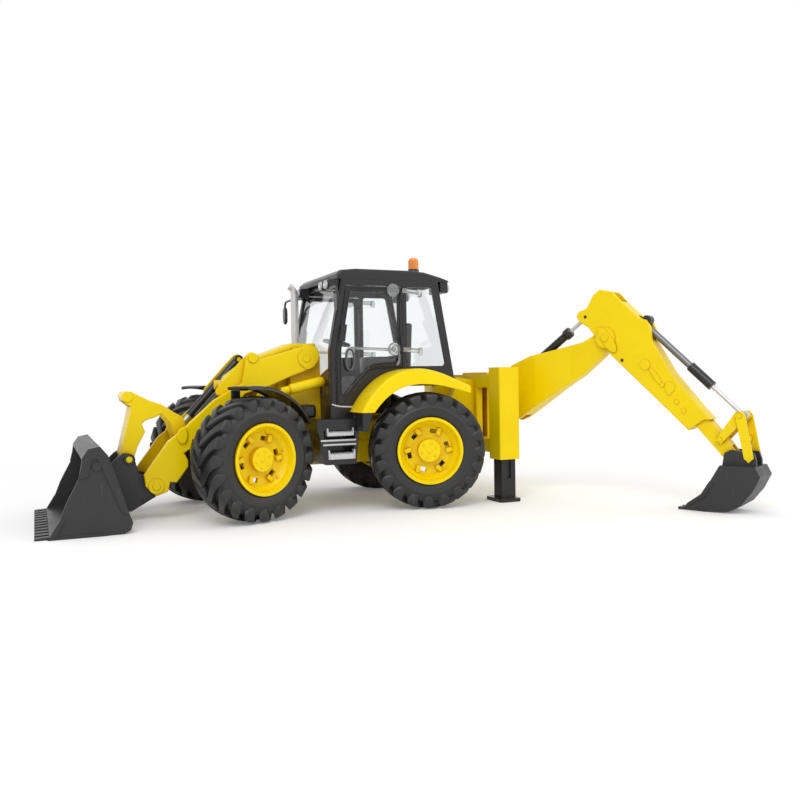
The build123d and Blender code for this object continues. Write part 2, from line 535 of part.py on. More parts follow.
link_in = lever_in + 2.4 + 0.6
link_bar = plate([(LEVER_TIP[0] - 3.6, LEVER_TIP[1] + 1), (LEVER_TIP[0] + 1, LEVER_TIP[1] + 3.8),
                  (LEVER_TIP[0] + 3.8, LEVER_TIP[1]), (LINK_EYE[0] + 3.5, LINK_EYE[1]),
                  (LINK_EYE[0], LINK_EYE[1] - 3.5), (LINK_EYE[0] - 3.5, LINK_EYE[1])], link_in, link_in + 2)
link_bar -= cross(LEVER_TIP[0], LEVER_TIP[1], 1.8 + TURN_GAP, 0, 30)
link = both(link_bar)
link += box(LINK_EYE[0] - 5, LINK_EYE[0] - 3.2, -link_in - 1, link_in + 1, 56, 60)
keep("bucket_link", link, swung)

t = 2.0
hoe_side = [(226, 37), (236, 46), (243, 46), (253, 38), (257, 30), (251, 18), (243, 8), (233, 1.5), (214, 0),
            (197, 1.0), (201, 6), (212, 14), (219, 25)]
hoe_hole = [(226, 33.5), (240, 35), (252, 31), (248.5, 19), (241.5, 10), (232, 3.5), (214, 2), (180, 2.6), (180, 60), (215, 44)]
hoe = bevelled(hoe_side, -HOE_HALF, HOE_HALF, 0.5, (-1, 1)) - plate(hoe_hole, -HOE_HALF + t, HOE_HALF - t)
hoe -= plate([(215, 37.5), (262, 37.5), (262, 60), (215, 60)], -30, 30)
for k in range(4):
    y = -HOE_HALF + 3 + k * (2 * HOE_HALF - 6) / 3
    hoe += box(193, 200, y - 2, y + 2, 0.4, 2.2)
ear = plate([(226, 36), (228, 47), (233, 49.5), (250, 48), (252, 42), (252, 35)], half_in + 0.6, half_in + 3.4)
hoe += both(ear)
hoe += cross(HOE_PIN[0], HOE_PIN[1], PIN_R, -half_in - 3, half_in + 3)
hoe += cross(LINK_EYE[0], LINK_EYE[1], 1.6, -half_in - 3.4, half_in + 3.4)
hoe += both(plate([(201, 6), (212, 14), (219, 25), (222, 23), (214.5, 11.5), (203, 4)], HOE_HALF, HOE_HALF + 1))
keep("backhoe_bucket", hoe, swung)

# backhoe rams: barrel in the carrying piece, rod in its slide


def barrel(a, b, r, y, length, rod_r, eye_half, eye_r=3.2, pin_r=1.6):
    """Ram barrel pinned at a, pointing at b, bored for its rod."""
    solid = bar(a, b, r, y, 3.4, length) + cross(a[0], a[1], eye_r, y - eye_half, y + eye_half)
    solid += bar(a, b, 2.2, y, 0, 5)
    solid -= cross(a[0], a[1], pin_r + TURN_GAP, y - 20, y + 20)
    return solid - bar(a, b, rod_r + 0.3, y, 8, length + 1)


def rod(a, b, r, y, start, eye_half, eye_r=3.2):
    """Ram rod from start along the line a-b to its eye at b."""
    full = math.hypot(b[0] - a[0], b[1] - a[1])
    return bar(a, b, r, y, start, full) + cross(b[0], b[1], eye_r, y - eye_half, y + eye_half)


keep("dipper_ram_barrel", barrel(RAM_BASE, DIPPER_LUG, 3.6, 0, 61, 1.7, 2.6), swung)
keep("dipper_ram_rod", rod(RAM_BASE, DIPPER_LUG, 1.7, 0, 27.5, 2.6), swung)
ram_len = math.hypot(LEVER_TIP[0] - BKT_BASE[0], LEVER_TIP[1] - BKT_BASE[1])
tube = bar(BKT_BASE, LEVER_TIP, 2.8, 0, 3, 66) + cross(BKT_BASE[0], BKT_BASE[1], 3.2, -2.6, 2.6)
tube += bar(BKT_BASE, LEVER_TIP, 2.2, 0, 0, 4) - cross(BKT_BASE[0], BKT_BASE[1], 3.0, -20, 20)
tube -= cross(BKT_BASE[0], BKT_BASE[1], 1.6 + TURN_GAP, -20, 20)
tube -= bar(BKT_BASE, LEVER_TIP, 1.7 + 0.3, 0, 8, 70)
keep("bucket_ram_barrel", tube, swung)
sleeve = bar(BKT_BASE, LEVER_TIP, 4.0, 0, 54, 78) - bar(BKT_BASE, LEVER_TIP, 2.8 + 0.2, 0, 50, 73)
keep("bucket_ram_sleeve", sleeve - bar(BKT_BASE, LEVER_TIP, 1.7 + 0.2, 0, 50, 90), swung)
keep("bucket_ram_rod", rod(BKT_BASE, LEVER_TIP, 1.7, 0, 24, 2.6, 3.4), swung)

# loader

arm_shape = [(-98, 138.2), (-106, 136), (-137, 127), (-139, 131), (-143.5, 133), (-148, 130.5), (-152.2, 107.5),
             (-158, 104.8), (-175, 95), (-201.5, 71), (-212, 63), (-217, 56), (-231, 37), (-230, 28), (-222, 20),
             (-213, 23), (-211, 30.6), (-206, 30), (-197, 42), (-197, 47), (-200, 53), (-195, 56), (-193, 63),
             (-183, 70), (-171, 79.5), (-160, 88), (-150, 99), (-129, 105), (-110, 113), (-97, 117.5), (-89, 121), (-87.5, 129), (-91, 135.5)]
arm = bevelled(arm_shape, ARM_IN, ARM_IN + ARM_T, 0.7)
arm += cross(LIFT_PIN[0], LIFT_PIN[1], 7.5, ARM_IN, ARM_IN + ARM_T + 1)
arm += cross(TILT_TOP[0], TILT_TOP[1], 4, ARM_IN, ARM_IN + ARM_T + 1)
arm += cross(DUMP_PIN[0], DUMP_PIN[1], 6, ARM_IN, ARM_IN + ARM_T + 1)
arm += plate([(-139, 106), (-140, 96), (-136, 92.5), (-131, 93), (-127, 106)], ARM_IN, ARM_IN + 2.2)
arm += cross(TILT_TOP[0], TILT_TOP[1], 1.8, TILT_Y - 3.4, ARM_IN)
arm += cross(DUMP_PIN[0], DUMP_PIN[1], 5, LUG_IN + LUG_T + 0.6, ARM_IN) + cross(DUMP_PIN[0], DUMP_PIN[1], PIN_R, LUG_IN - 0.4, ARM_IN)
arm -= cross(LIFT_PIN[0], LIFT_PIN[1], 3.2 + TURN_GAP, 0, 60)
loader = both(arm)
web = [(-203, 57), (-197, 46), (-205, 33), (-207.5, 33), (-200, 47), (-205, 56)]
loader += plate(web, -ARM_IN, ARM_IN)
keep("loader_arms", loader)

tilt_barrels = Part()
tilt_rods = Part()
lift_barrels = Part()
lift_rods = Part()
for sign in (-1, 1):
    y = sign * TILT_Y
    tilt_barrels += barrel(TILT_TOP, TILT_EYE, RAM_R, y, 64.5, ROD_R, 3, 4, 1.8)
    tilt_rods += rod(TILT_TOP, TILT_EYE, ROD_R, y, 25, 3, 4)
    y = sign * LIFT_RAM_Y
    lift_barrels += barrel(LIFT_BASE, LIFT_EYE, LIFT_RAM_R, y, 34, 1.7, 2.4, 4.2, PIN_R)
    lift_rods += rod(LIFT_BASE, LIFT_EYE, 1.7, y, 10, 2.4, 3.6)
keep("tilt_ram_barrels", tilt_barrels)
keep("tilt_ram_rods", tilt_rods)
keep("lift_ram_barrels", lift_barrels)
keep("lift_ram_rods", lift_rods)

hitch_shape = [(-245, 98.5), (-243, 102), (-238, 102.5), (-224, 95), (-214, 91.4), (-205, 85), (-199.5, 82), (-196.9, 78.5),
               (-195.5, 70), (-195.8, 63.5), (-200, 60.8), (-204, 62.5), (-205.5, 68), (-208, 76), (-214.3, 84.2), (-220.5, 81.3), (-226.7, 79.5), (-230.2, 76.8),
               (-229.1, 73.6), (-227.7, 70.4), (-234.1, 58), (-236.5, 50.2), (-239, 46.5), (-245, 46.5), (-247, 52),
               (-239.5, 83), (-238, 90), (-244, 95)]
hitch = bevelled(hitch_shape, HITCH_IN, HITCH_OUT, 0.5)
hitch = both(hitch)
hitch += plate([(-247, 52), (-239.5, 83), (-238, 90), (-234, 90), (-236.5, 82), (-243.5, 52)], -HITCH_IN, HITCH_IN)
hitch += cross(-240.6, 98.3, 4.2, -HITCH_OUT - 0.5, HITCH_OUT + 0.5)
hitch += cross(TILT_EYE[0], TILT_EYE[1], 1.8, -HITCH_OUT - 0.6, HITCH_OUT + 0.6)
hitch -= cross(-241.6, 49.5, 2.6, -30, 30)
keep("hitch_frame", hitch)

bucket_side = [(-302, 0), (-293.5, 14), (-289.3, 25), (-281, 41), (-279, 50), (-278, 57), (-274, 63), (-266, 64.5),
               (-260.7, 58), (-256, 45), (-246.6, 14), (-244.3, 8), (-246, 2.5), (-251, 0.2), (-263, 0)]
bucket_hole = [(-312, 2.2), (-263, 2.2), (-252, 2.6), (-247.2, 5), (-247, 9), (-249.4, 15), (-258.4, 44), (-263, 57),
               (-267.5, 61), (-273, 60.2), (-276, 55), (-285, 57), (-312, 40)]
bucket = plate(bucket_side, -BUCKET_HALF, BUCKET_HALF)
bucket -= plate(bucket_hole, -BUCKET_HALF + BUCKET_T, BUCKET_HALF - BUCKET_T)
strip = [(-281, 42), (-279, 50), (-278, 57), (-274, 63), (-266, 64.5), (-260.7, 58), (-256, 45), (-246.6, 14),
         (-252, 16), (-263, 44), (-268, 56), (-272, 55), (-274, 43)]
bucket += both(plate(strip, BUCKET_HALF, BUCKET_HALF + 1.2) + cross(-268.5, 50, 3.2, BUCKET_HALF, BUCKET_HALF + 1.6))
bucket += both(plate([(-302, 0), (-293.5, 14), (-290, 14), (-296, 2), (-262, 2), (-262, 0)], BUCKET_HALF, BUCKET_HALF + 1.2))
teeth = 12
for k in range(teeth):
    y = -BUCKET_HALF + 5 + k * (2 * BUCKET_HALF - 10) / (teeth - 1)
    bucket += plate([(-310.6, 0), (-310.4, 1.6), (-301, 2.2), (-300, 0)], y - 3, y + 3)
lug = plate([(-257, 44), (-249, 52), (-245.5, 54), (-241, 54), (-237, 50), (-233.5, 36.8), (-222, 33.5), (-216.5, 28),
             (-217, 22), (-222, 18), (-240, 8), (-246, 8), (-247.5, 14)], LUG_IN, LUG_IN + LUG_T)
lug -= cross(DUMP_PIN[0], DUMP_PIN[1], PIN_R + TURN_GAP, 0, 40)
lug += cross(-241.6, 49.5, 2.4, HITCH_IN, LUG_IN + 1)
bucket += both(lug)
keep("loader_bucket", bucket)

shift = Pos(ORIGIN_X, ORIGIN_Y, 0)
for name, solid in pieces.items():
    export_step(shift * solid, f"parts/{name}.step")
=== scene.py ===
"""Looks for the toy backhoe loader: finishes for the solids and the fine pieces around them."""

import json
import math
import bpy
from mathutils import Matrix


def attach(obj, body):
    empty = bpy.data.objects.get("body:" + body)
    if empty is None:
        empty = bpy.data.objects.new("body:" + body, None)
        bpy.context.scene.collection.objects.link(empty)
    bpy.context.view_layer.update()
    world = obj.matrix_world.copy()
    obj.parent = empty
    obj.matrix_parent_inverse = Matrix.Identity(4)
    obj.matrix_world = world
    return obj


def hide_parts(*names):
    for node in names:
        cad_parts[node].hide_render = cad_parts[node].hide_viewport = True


bl_info = {
    "name": "Toy Backhoe Loader",
    "version": (1, 0, 0),
    "blender": (4, 5, 0),
    "location": "View3D > Sidebar > Backhoe",
    "description": "Plastic finishes, tyres, rims, cab fittings and a plain studio for the toy",
    "category": "Object",
}

import bmesh
import bpy
import numpy as np
from mathutils import Matrix, Vector
from mathutils.geometry import tessellate_polygon

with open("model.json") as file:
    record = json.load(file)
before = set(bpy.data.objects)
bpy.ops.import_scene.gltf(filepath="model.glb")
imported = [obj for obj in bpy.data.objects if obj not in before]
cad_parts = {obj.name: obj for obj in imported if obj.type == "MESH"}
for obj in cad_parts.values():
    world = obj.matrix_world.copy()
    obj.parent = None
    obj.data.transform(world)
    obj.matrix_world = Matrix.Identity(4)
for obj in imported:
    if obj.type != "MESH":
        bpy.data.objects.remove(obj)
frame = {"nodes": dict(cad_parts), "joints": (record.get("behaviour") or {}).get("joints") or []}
NODES = frame["nodes"]
JOINTS = {joint["name"]: joint for joint in frame["joints"]}
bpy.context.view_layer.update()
WHEELS = [f"{axle}_{side}" for axle in ("front", "rear") for side in ("left", "right")]
SIDES = (("left", -1.0), ("right", 1.0))

# The machine's frame is in millimetres: X rearwards from the rear axle, Y to the driver's right, Z
# up from the ground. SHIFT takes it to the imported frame. The backhoe's plane stands on the
# kingpost, at the angle SWING from X.
MM = 0.001
SHIFT = np.array([42.7, 68.7, 0.0])
KINGPOST = (95.0, 0.0, 0.0)
SWING = math.radians(-63.2)

SMOOTH_BELOW = math.radians(38)
WELD_DISTANCE = 1e-6
SKIN_GRAIN = 2600.0
EDGE_ROUNDING = 0.6 * MM
# How far the ambient occlusion behind the painted shade in recesses looks for nearby faces.
PAINTED_SHADE_REACH = 16 * MM
BAR_REACH = 18.0
BAR_RADIUS = 46.0
GUARD_RADIUS = 54.5

CAMERA_LENS = 37.41
CAMERA_SENSOR = 36.0
CAMERA_PLACE = (-0.26449, -0.6362, 0.11126)
CAMERA_RIGHT = Vector((0.9155, -0.4019, -0.0152))
CAMERA_UP = Vector((0.0253, 0.0198, 0.9995))
LAMP_AIM = Vector((0.0, 0.0, 0.08))
FLOOR_HALF = 9.0
FLOOR_FADE = (0.32, 0.75)
FLOOR_LIFT = 0.12

YELLOW_NODES = (
    "chassis_frame hood rear_fenders stabiliser_frame side_shift_carriage swing_post boom dipper "
    "telescopic_arm bucket_lever bucket_link loader_arms hitch_frame lift_ram_barrels "
    "front_left_rim front_right_rim rear_left_rim rear_right_rim"
).split()
BLACK_NODES = (
    "cab_frame cab_roof cab_floor seat steering_wheel wing_mirrors step_units work_lamps door_left "
    "door_right front_left_mudguard front_right_mudguard front_left_knuckle front_right_knuckle "
    "rear_left_knuckle rear_right_knuckle front_axle_beam rear_axle_beam front_tie_rod "
    "rear_tie_rod stabiliser_leg_left stabiliser_leg_right beacon"
).split()
DARK_RAM_NODES = "tilt_ram_barrels dipper_ram_barrel bucket_ram_sleeve".split()
BUCKET_NODES = "loader_bucket backhoe_bucket".split()
GREY_NODES = ["bucket_ram_barrel"]
SILVER_NODES = "lift_ram_rods tilt_ram_rods dipper_ram_rod bucket_ram_rod exhaust_stack".split()
CLEAR_NODES = "cab_glass door_left_glass door_right_glass".split()
TYRE_NODES = [f"{wheel}_tyre" for wheel in WHEELS]


# shader groups and finishes


def new_group(name, inputs, outputs):
    """A shader node group with its sockets, as (group, inside input node, inside output node)."""
    group = bpy.data.node_groups.new(name, "ShaderNodeTree")
    for label, kind, value in inputs:
        socket = group.interface.new_socket(name=label, in_out="INPUT", socket_type=kind)
        socket.default_value = value
    for label, kind in outputs:
        group.interface.new_socket(name=label, in_out="OUTPUT", socket_type=kind)
    return group, group.nodes.new("NodeGroupInput"), group.nodes.new("NodeGroupOutput")


def fill(node, values):
    """Sets a node's inputs by their labels."""
    for label, value in values.items():
        node.inputs[label].default_value = value


def noise(tree, scale, detail=3.0, rough=0.55):
    """A noise texture on object coordinates."""
    place = tree.nodes.new("ShaderNodeTexCoord")
    node = tree.nodes.new("ShaderNodeTexNoise")
    fill(node, {"Scale": scale, "Detail": detail, "Roughness": rough})
    tree.links.new(place.outputs["Object"], node.inputs["Vector"])
    return node


def spread(tree, source, low, high, out_low, out_high):
    """Maps a value from low..high to out_low..out_high, held at both ends."""
    node = tree.nodes.new("ShaderNodeMapRange")
    fill(node, {"From Min": low, "From Max": high, "To Min": out_low, "To Max": out_high})
    tree.links.new(source, node.inputs["Value"])
    return node.outputs["Result"]


def calculated(tree, operation, *sources):
    """The result of a Math node on the given sockets."""
    node = tree.nodes.new("ShaderNodeMath")
    node.operation = operation
    for socket, source in zip(node.inputs, sources):
        tree.links.new(source, socket)
    return node.outputs[0]


def mixed(tree, factor, first, second):
    """The colour between the socket first and the socket or fixed colour second, by the factor."""
    node = tree.nodes.new("ShaderNodeMix")
    node.data_type = "RGBA"
    tree.links.new(factor, node.inputs["Factor"])
    tree.links.new(first, node.inputs["A"])
    if isinstance(second, tuple):
        node.inputs["B"].default_value = second
    else:
        tree.links.new(second, node.inputs["B"])
    return node.outputs["Result"]


def new_material(name):
    """A material with nodes, as (material, its node tree, its Principled BSDF)."""
    mat = bpy.data.materials.new(name)
    mat.use_nodes = True
    return mat, mat.node_tree, mat.node_tree.nodes["Principled BSDF"]


def moulded_group():
    """Colour drift, uneven gloss and the fine skin of injection-moulded plastic."""
    group, start, end = new_group(
        "Moulded skin",
        [("Base", "NodeSocketColor", (0.5, 0.5, 0.5, 1.0)),
         ("Shade", "NodeSocketColor", (0.4, 0.4, 0.4, 1.0)),
         ("Gloss", "NodeSocketFloat", 0.35), ("Unevenness", "NodeSocketFloat", 0.08),
         ("Grain", "NodeSocketFloat", SKIN_GRAIN)],
        [("Color", "NodeSocketColor"), ("Roughness", "NodeSocketFloat"),
         ("Height", "NodeSocketFloat")])
    links = group.links
    cloud = noise(group, 26.0, 4.0)
    mask = spread(group, cloud.outputs["Fac"], 0.35, 0.75, 0.0, 1.0)
    links.new(mixed(group, mask, start.outputs["Base"], start.outputs["Shade"]),
              end.inputs["Color"])
    smear = noise(group, 90.0, 5.0, 0.65)
    centred = spread(group, smear.outputs["Fac"], 0.3, 0.7, -1.0, 1.0)
    rough = calculated(group, "MULTIPLY_ADD", centred, start.outputs["Unevenness"],
                       start.outputs["Gloss"])
    links.new(rough, end.inputs["Roughness"])
    skin = noise(group, SKIN_GRAIN, 2.0)
    links.new(start.outputs["Grain"], skin.inputs["Scale"])
    links.new(skin.outputs["Fac"], end.inputs["Height"])
    return group


def scuff_group():
    """Pale rubs and short scratches on dark plastic that has been played with."""
    group, start, end = new_group(
        "Scuffs",
        [("Color", "NodeSocketColor", (0.04, 0.04, 0.04, 1.0)),
         ("Scuff", "NodeSocketColor", (0.12, 0.12, 0.12, 1.0)),
         ("Amount", "NodeSocketFloat", 0.4)],
        [("Color", "NodeSocketColor"), ("Mask", "NodeSocketFloat")])
    place = group.nodes.new("ShaderNodeTexCoord")
    stretch = group.nodes.new("ShaderNodeMapping")
    fill(stretch, {"Scale": (1.0, 1.0, 0.16), "Rotation": (0.5, 0.9, 0.3)})
    fine = group.nodes.new("ShaderNodeTexNoise")
    fill(fine, {"Scale": 620.0, "Detail": 4.0})
    group.links.new(place.outputs["Object"], stretch.inputs["Vector"])
    group.links.new(stretch.outputs["Vector"], fine.inputs["Vector"])
    lines = spread(group, fine.outputs["Fac"], 0.63, 0.72, 0.0, 1.0)
    where = spread(group, noise(group, 34.0, 3.0).outputs["Fac"], 0.48, 0.66, 0.0, 1.0)
    both = calculated(group, "MULTIPLY", lines, where)
    amount = calculated(group, "MULTIPLY", both, start.outputs["Amount"])
    group.links.new(mixed(group, amount, start.outputs["Color"], start.outputs["Scuff"]),
                    end.inputs["Color"])
    group.links.new(amount, end.inputs["Mask"])
    return group


def plastic(name, base, shade, gloss, uneven, grain=SKIN_GRAIN, relief=0.02, coat=0.0, scuffs=None,
            metallic=0.0, specular=0.5, painted_shade=None):
    """A moulded plastic: group colours and gloss into a Principled BSDF, with rounded edges and a
    faint skin relief; its last argument is a painted shade colour, which an ambient occlusion mask
    lays over the colour in recesses where its own faces stand close."""
    mat, tree, bsdf = new_material(name)
    skin = tree.nodes.new("ShaderNodeGroup")
    skin.node_tree = bpy.data.node_groups["Moulded skin"]
    fill(skin, {"Base": (*base, 1.0), "Shade": (*shade, 1.0), "Gloss": gloss, "Unevenness": uneven,
                "Grain": grain})
    colour = skin.outputs["Color"]
    if scuffs:
        worn = tree.nodes.new("ShaderNodeGroup")
        worn.node_tree = bpy.data.node_groups["Scuffs"]
        fill(worn, {"Scuff": (*scuffs[0], 1.0), "Amount": scuffs[1]})
        tree.links.new(colour, worn.inputs["Color"])
        colour = worn.outputs["Color"]
    # Painted shade: an ambient occlusion mask turns the colour towards a deep orange in recesses.
    if painted_shade:
        near = tree.nodes.new("ShaderNodeAmbientOcclusion")
        near.samples = 6
        near.inputs["Distance"].default_value = PAINTED_SHADE_REACH
        colour = mixed(tree, spread(tree, near.outputs["AO"], 0.25, 0.85, 1.0, 0.0), colour,
                       (*painted_shade, 1.0))
    tree.links.new(colour, bsdf.inputs["Base Color"])
    tree.links.new(skin.outputs["Roughness"], bsdf.inputs["Roughness"])
    rounded = tree.nodes.new("ShaderNodeBevel")
    rounded.samples = 4
    rounded.inputs["Radius"].default_value = EDGE_ROUNDING
    bump = tree.nodes.new("ShaderNodeBump")
    tree.links.new(rounded.outputs["Normal"], bump.inputs["Normal"])
    fill(bump, {"Strength": 0.35, "Distance": relief * MM})
    tree.links.new(skin.outputs["Height"], bump.inputs["Height"])
    tree.links.new(bump.outputs["Normal"], bsdf.inputs["Normal"])
    fill(bsdf, {"Coat Weight": coat, "Coat Roughness": 0.12, "Metallic": metallic,
                "Specular IOR Level": specular})
    return mat


def clear(name, colour, rough, through=1.0):
    """A see-through moulded plastic; through is the share of the light that passes its skin."""
    mat, _, bsdf = new_material(name)
    fill(bsdf, {"Base Color": (*colour, 1.0), "Transmission Weight": through, "IOR": 1.45,
                "Roughness": rough})
    return mat


# surfaces worked out on grids


def around(count):
    """The angles 2 pi k / count."""
    return 2 * np.pi * np.arange(count) / count


ANGLES = around(40)


def grid_faces(rows, cols, closed_rows=False, closed_cols=False):
    """Quads of a rows x cols grid of points, as an index array; a closed side joins its last line
    to its first."""
    r = np.arange(rows if closed_rows else rows - 1)[:, None]
    c = np.arange(cols if closed_cols else cols - 1)[None, :]
    r2, c2 = (r + 1) % rows, (c + 1) % cols
    return np.stack([r * cols + c, r * cols + c2, r2 * cols + c2, r2 * cols + c], -1).reshape(-1, 4)


def lathe(profile, steps=64):
    """Turned solid (y, r) -> (r cos a, y, r sin a) with a = 2 pi k / steps; the profile is a closed
    loop or ends on r = 0."""
    y, r = np.asarray(profile, float).T
    a = around(steps)
    grid = np.stack([np.outer(np.cos(a), r), np.broadcast_to(y, (steps, len(y))),
                     np.outer(np.sin(a), r)], -1)
    loop = bool(r[0] > 0 and r[-1] > 0)
    return grid.reshape(-1, 3), grid_faces(steps, len(y), True, loop)


def soften(points, rounds=2, closed=True):
    """Corner cutting: each run a-b gives 3/4 a + 1/4 b and 1/4 a + 3/4 b, done rounds times."""
    points = np.asarray(points, float)
    for _ in range(rounds):
        nxt = np.roll(points, -1, 0)
        cut = np.stack([0.75 * points + 0.25 * nxt, 0.25 * points + 0.75 * nxt], 1)
        if closed:
            points = cut.reshape(-1, points.shape[1])
        else:
            points = np.concatenate([points[:1], cut[:-1].reshape(-1, points.shape[1]),
                                     points[-1:]])
    return points


def eased(outline, radius):
    """Closed outline whose corner p becomes p + r u, p + 0.3 r (u + v) and p + r v, with u and v
    towards its neighbours."""
    points = np.asarray(outline, float)
    legs = np.stack([np.roll(points, 1, 0) - points, np.roll(points, -1, 0) - points], 1)
    length = np.linalg.norm(legs, axis=2, keepdims=True)
    legs *= np.minimum(radius, 0.45 * length) / length
    corners = points[:, None] + np.stack([legs[:, 0], 0.3 * legs.sum(1), legs[:, 1]], 1)
    return corners.reshape(-1, 2)


def block(low, high, edge=0.25, steps=9):
    """Rounded block: unit sphere (cos u cos v, cos u sin v, sin u), each part raised to the power
    edge and scaled."""
    u = np.linspace(-np.pi / 2, np.pi / 2, steps)[:, None]
    v = around(2 * steps)[None, :]
    ball = np.broadcast_arrays(np.cos(u) * np.cos(v), np.cos(u) * np.sin(v), np.sin(u))
    ball = np.stack(ball, -1)
    ball = np.sign(ball) * np.abs(ball) ** edge
    low, high = np.asarray(low, float), np.asarray(high, float)
    points = (low + high) / 2 + ball * (high - low) / 2
    return points.reshape(-1, 3), grid_faces(steps, 2 * steps, False, True)


def tube(path, radius, steps=12, flat=1.0):
    """Round bar along a path: each point p gives p + radius (cos a side + flat sin a over), closed
    at its ends."""
    path = np.asarray(path, float)
    run = np.gradient(path, axis=0)
    run /= np.linalg.norm(run, axis=1)[:, None]
    side = np.cross(run, [0.0, 1.0, 0.0] if abs(run[0, 1]) < 0.9 else [0.0, 0.0, 1.0])
    side /= np.linalg.norm(side, axis=1)[:, None]
    over = np.cross(side, run)
    a = around(steps)
    radius = np.broadcast_to(radius, len(path))[:, None, None]
    cos, sin = np.cos(a)[None, :, None], np.sin(a)[None, :, None]
    ring = cos * side[:, None] + flat * sin * over[:, None]
    grid = np.concatenate([np.repeat(path[:1, None], steps, 1), path[:, None] + radius * ring,
                           np.repeat(path[-1:, None], steps, 1)])
    return grid.reshape(-1, 3), grid_faces(len(path) + 2, steps, False, True)


def slab(outline, low, high, edge=0.6, rounds=0):
    """Plate: the outline (x, z), corners cut rounds times, stands from y = low to high, drawn in by
    edge at both faces."""
    shape = soften(outline, rounds)
    nxt = np.roll(shape, -1, 0)
    run = nxt - np.roll(shape, 1, 0)
    run /= np.linalg.norm(run, axis=1)[:, None]
    turn = np.sign(np.sum(shape[:, 0] * nxt[:, 1] - nxt[:, 0] * shape[:, 1]))
    small = shape + edge * turn * np.stack([-run[:, 1], run[:, 0]], -1)
    rings = ((small, low), (shape, low + edge), (shape, high - edge), (small, high))
    walls = np.concatenate([np.insert(ring, 1, y, axis=1) for ring, y in rings])
    flat = np.insert(small, 2, 0.0, axis=1).tolist()
    corners = np.array(tessellate_polygon([flat]))[:, [0, 1, 2, 2]]
    faces = np.arange(corners.size).reshape(-1, 4)
    caps = [(np.insert(small[corners.ravel()], 1, y, axis=1), faces) for y in (low, high)]
    return joined([(walls, grid_faces(4, len(shape), False, True)), *caps])


def disc(x, z, radius, y, high):
    """Round boss that stands from y to y + high, its rim drawn in by 0.4."""
    profile = [(0, 0), (0, radius), (high - 0.4, radius), (high, radius - 0.4), (high, 0)]
    return moved(lathe(profile, 36), None, (x, y, z))


def shell(grid):
    """Skin with two sides: a row of the grid runs out along the outer side and back along the
    inner, and is closed; strips between the two sides close the first and last rows."""
    rows, cols, _ = grid.shape
    i = np.arange(cols // 2 - 1)
    strip = np.stack([i, i + 1, cols - 2 - i, cols - 1 - i], -1)
    faces = [grid_faces(rows, cols, False, True), strip, strip + (rows - 1) * cols]
    return grid.reshape(-1, 3), np.concatenate(faces)


def swung(part):
    """A part given in the backhoe's own plane, turned about the kingpost to where the backhoe
    stands at rest."""
    cos, sin = math.cos(SWING), math.sin(SWING)
    return moved(part, [[cos, -sin, 0], [sin, cos, 0], [0, 0, 1]], KINGPOST)


def joined(parts):
    """Several (points, faces) as one."""
    points, faces, start = [], [], 0
    for p, f in parts:
        points.append(p)
        faces.append(f + start)
        start += len(p)
    return np.concatenate(points), np.concatenate(faces)


def moved(part, turn=None, shift=(0, 0, 0)):
    """A part with its points turned by a 3 x 3 matrix whose columns are its new axes, then
    shifted."""
    points, faces = part
    if turn is not None:
        points = points @ np.asarray(turn, float).T
    return points + np.asarray(shift, float), faces


def flipped(part, way):
    """The part with its y times way, which is 1 or -1."""
    points, faces = part
    return points * np.array([1.0, way, 1.0]), faces


def across(part):
    """The part and its mirror on the other side of the machine's middle plane."""
    return joined([part, flipped(part, -1.0)])


def piece(name, part, finish, body, machine=True):
    """Makes the object: millimetres in the machine's frame (or metres already placed), normals
    outward, rides on body."""
    points, faces = part
    if machine:
        points = (points + SHIFT) * MM
    mesh = bpy.data.meshes.new(name)
    mesh.from_pydata(points, [], faces.tolist())
    work = bmesh.new()
    work.from_mesh(mesh)
    bmesh.ops.remove_doubles(work, verts=work.verts, dist=WELD_DISTANCE)
    bmesh.ops.recalc_face_normals(work, faces=work.faces)
    work.to_mesh(mesh)
    work.free()
    mesh.shade_smooth()
    mesh.set_sharp_from_angle(angle=SMOOTH_BELOW)
    mesh.materials.append(bpy.data.materials[finish])
    thing = bpy.data.objects.new(name, mesh)
    bpy.context.scene.collection.objects.link(thing)
    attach(thing, body)
    return thing


def wheel_frame(wheel):
    """A wheel's centre in millimetres and the matrix whose columns are its rearward, outward and
    upward axes."""
    joint = JOINTS[f"{wheel}_wheel_spin"]
    axle = np.array(joint["axis"], float)
    out = -axle if wheel.endswith("left") else axle
    rear = np.array([axle[1], -axle[0], 0.0])
    return np.array(joint["pos_m"]) / MM, np.stack([rear, out, [0.0, 0.0, 1.0]], 1)


def wheel_piece(wheel, label, part, finish, body):
    """piece() for a part given from a wheel's centre, rearward, outward and upward; it rides on the
    wheel's body."""
    centre, turn = wheel_frame(wheel)
    points, faces = moved(part, turn, centre)
    return piece(f"{wheel}_{label}", (points * MM, faces), finish, f"{wheel}_{body}", False)


class BackhoeFinish(bpy.types.PropertyGroup):
    """Colours that a user would change."""

    yellow: bpy.props.FloatVectorProperty(
        name="Yellow", description="Colour of the body, booms and rims", subtype="COLOR",
        default=(0.94, 0.70, 0.0), min=0.0, max=1.0)
    black: bpy.props.FloatVectorProperty(
        name="Black", description="Colour of the cab and the small black parts", subtype="COLOR",
        default=(0.014, 0.014, 0.015), min=0.0, max=1.0)
    tyre: bpy.props.FloatVectorProperty(
        name="Tyre", description="Colour of the tyres", subtype="COLOR",
        default=(0.021, 0.021, 0.0215), min=0.0, max=1.0)


class BackhoeStudio(bpy.types.PropertyGroup):
    """Light levels of the stage."""

    ambient: bpy.props.FloatProperty(
        name="Ambient", description="Strength of the even light from all round", default=0.72,
        min=0.0, max=2.0)
    key: bpy.props.FloatProperty(
        name="Key", description="Power of the large lamp over the front left", default=14.0,
        min=0.0, unit="POWER")


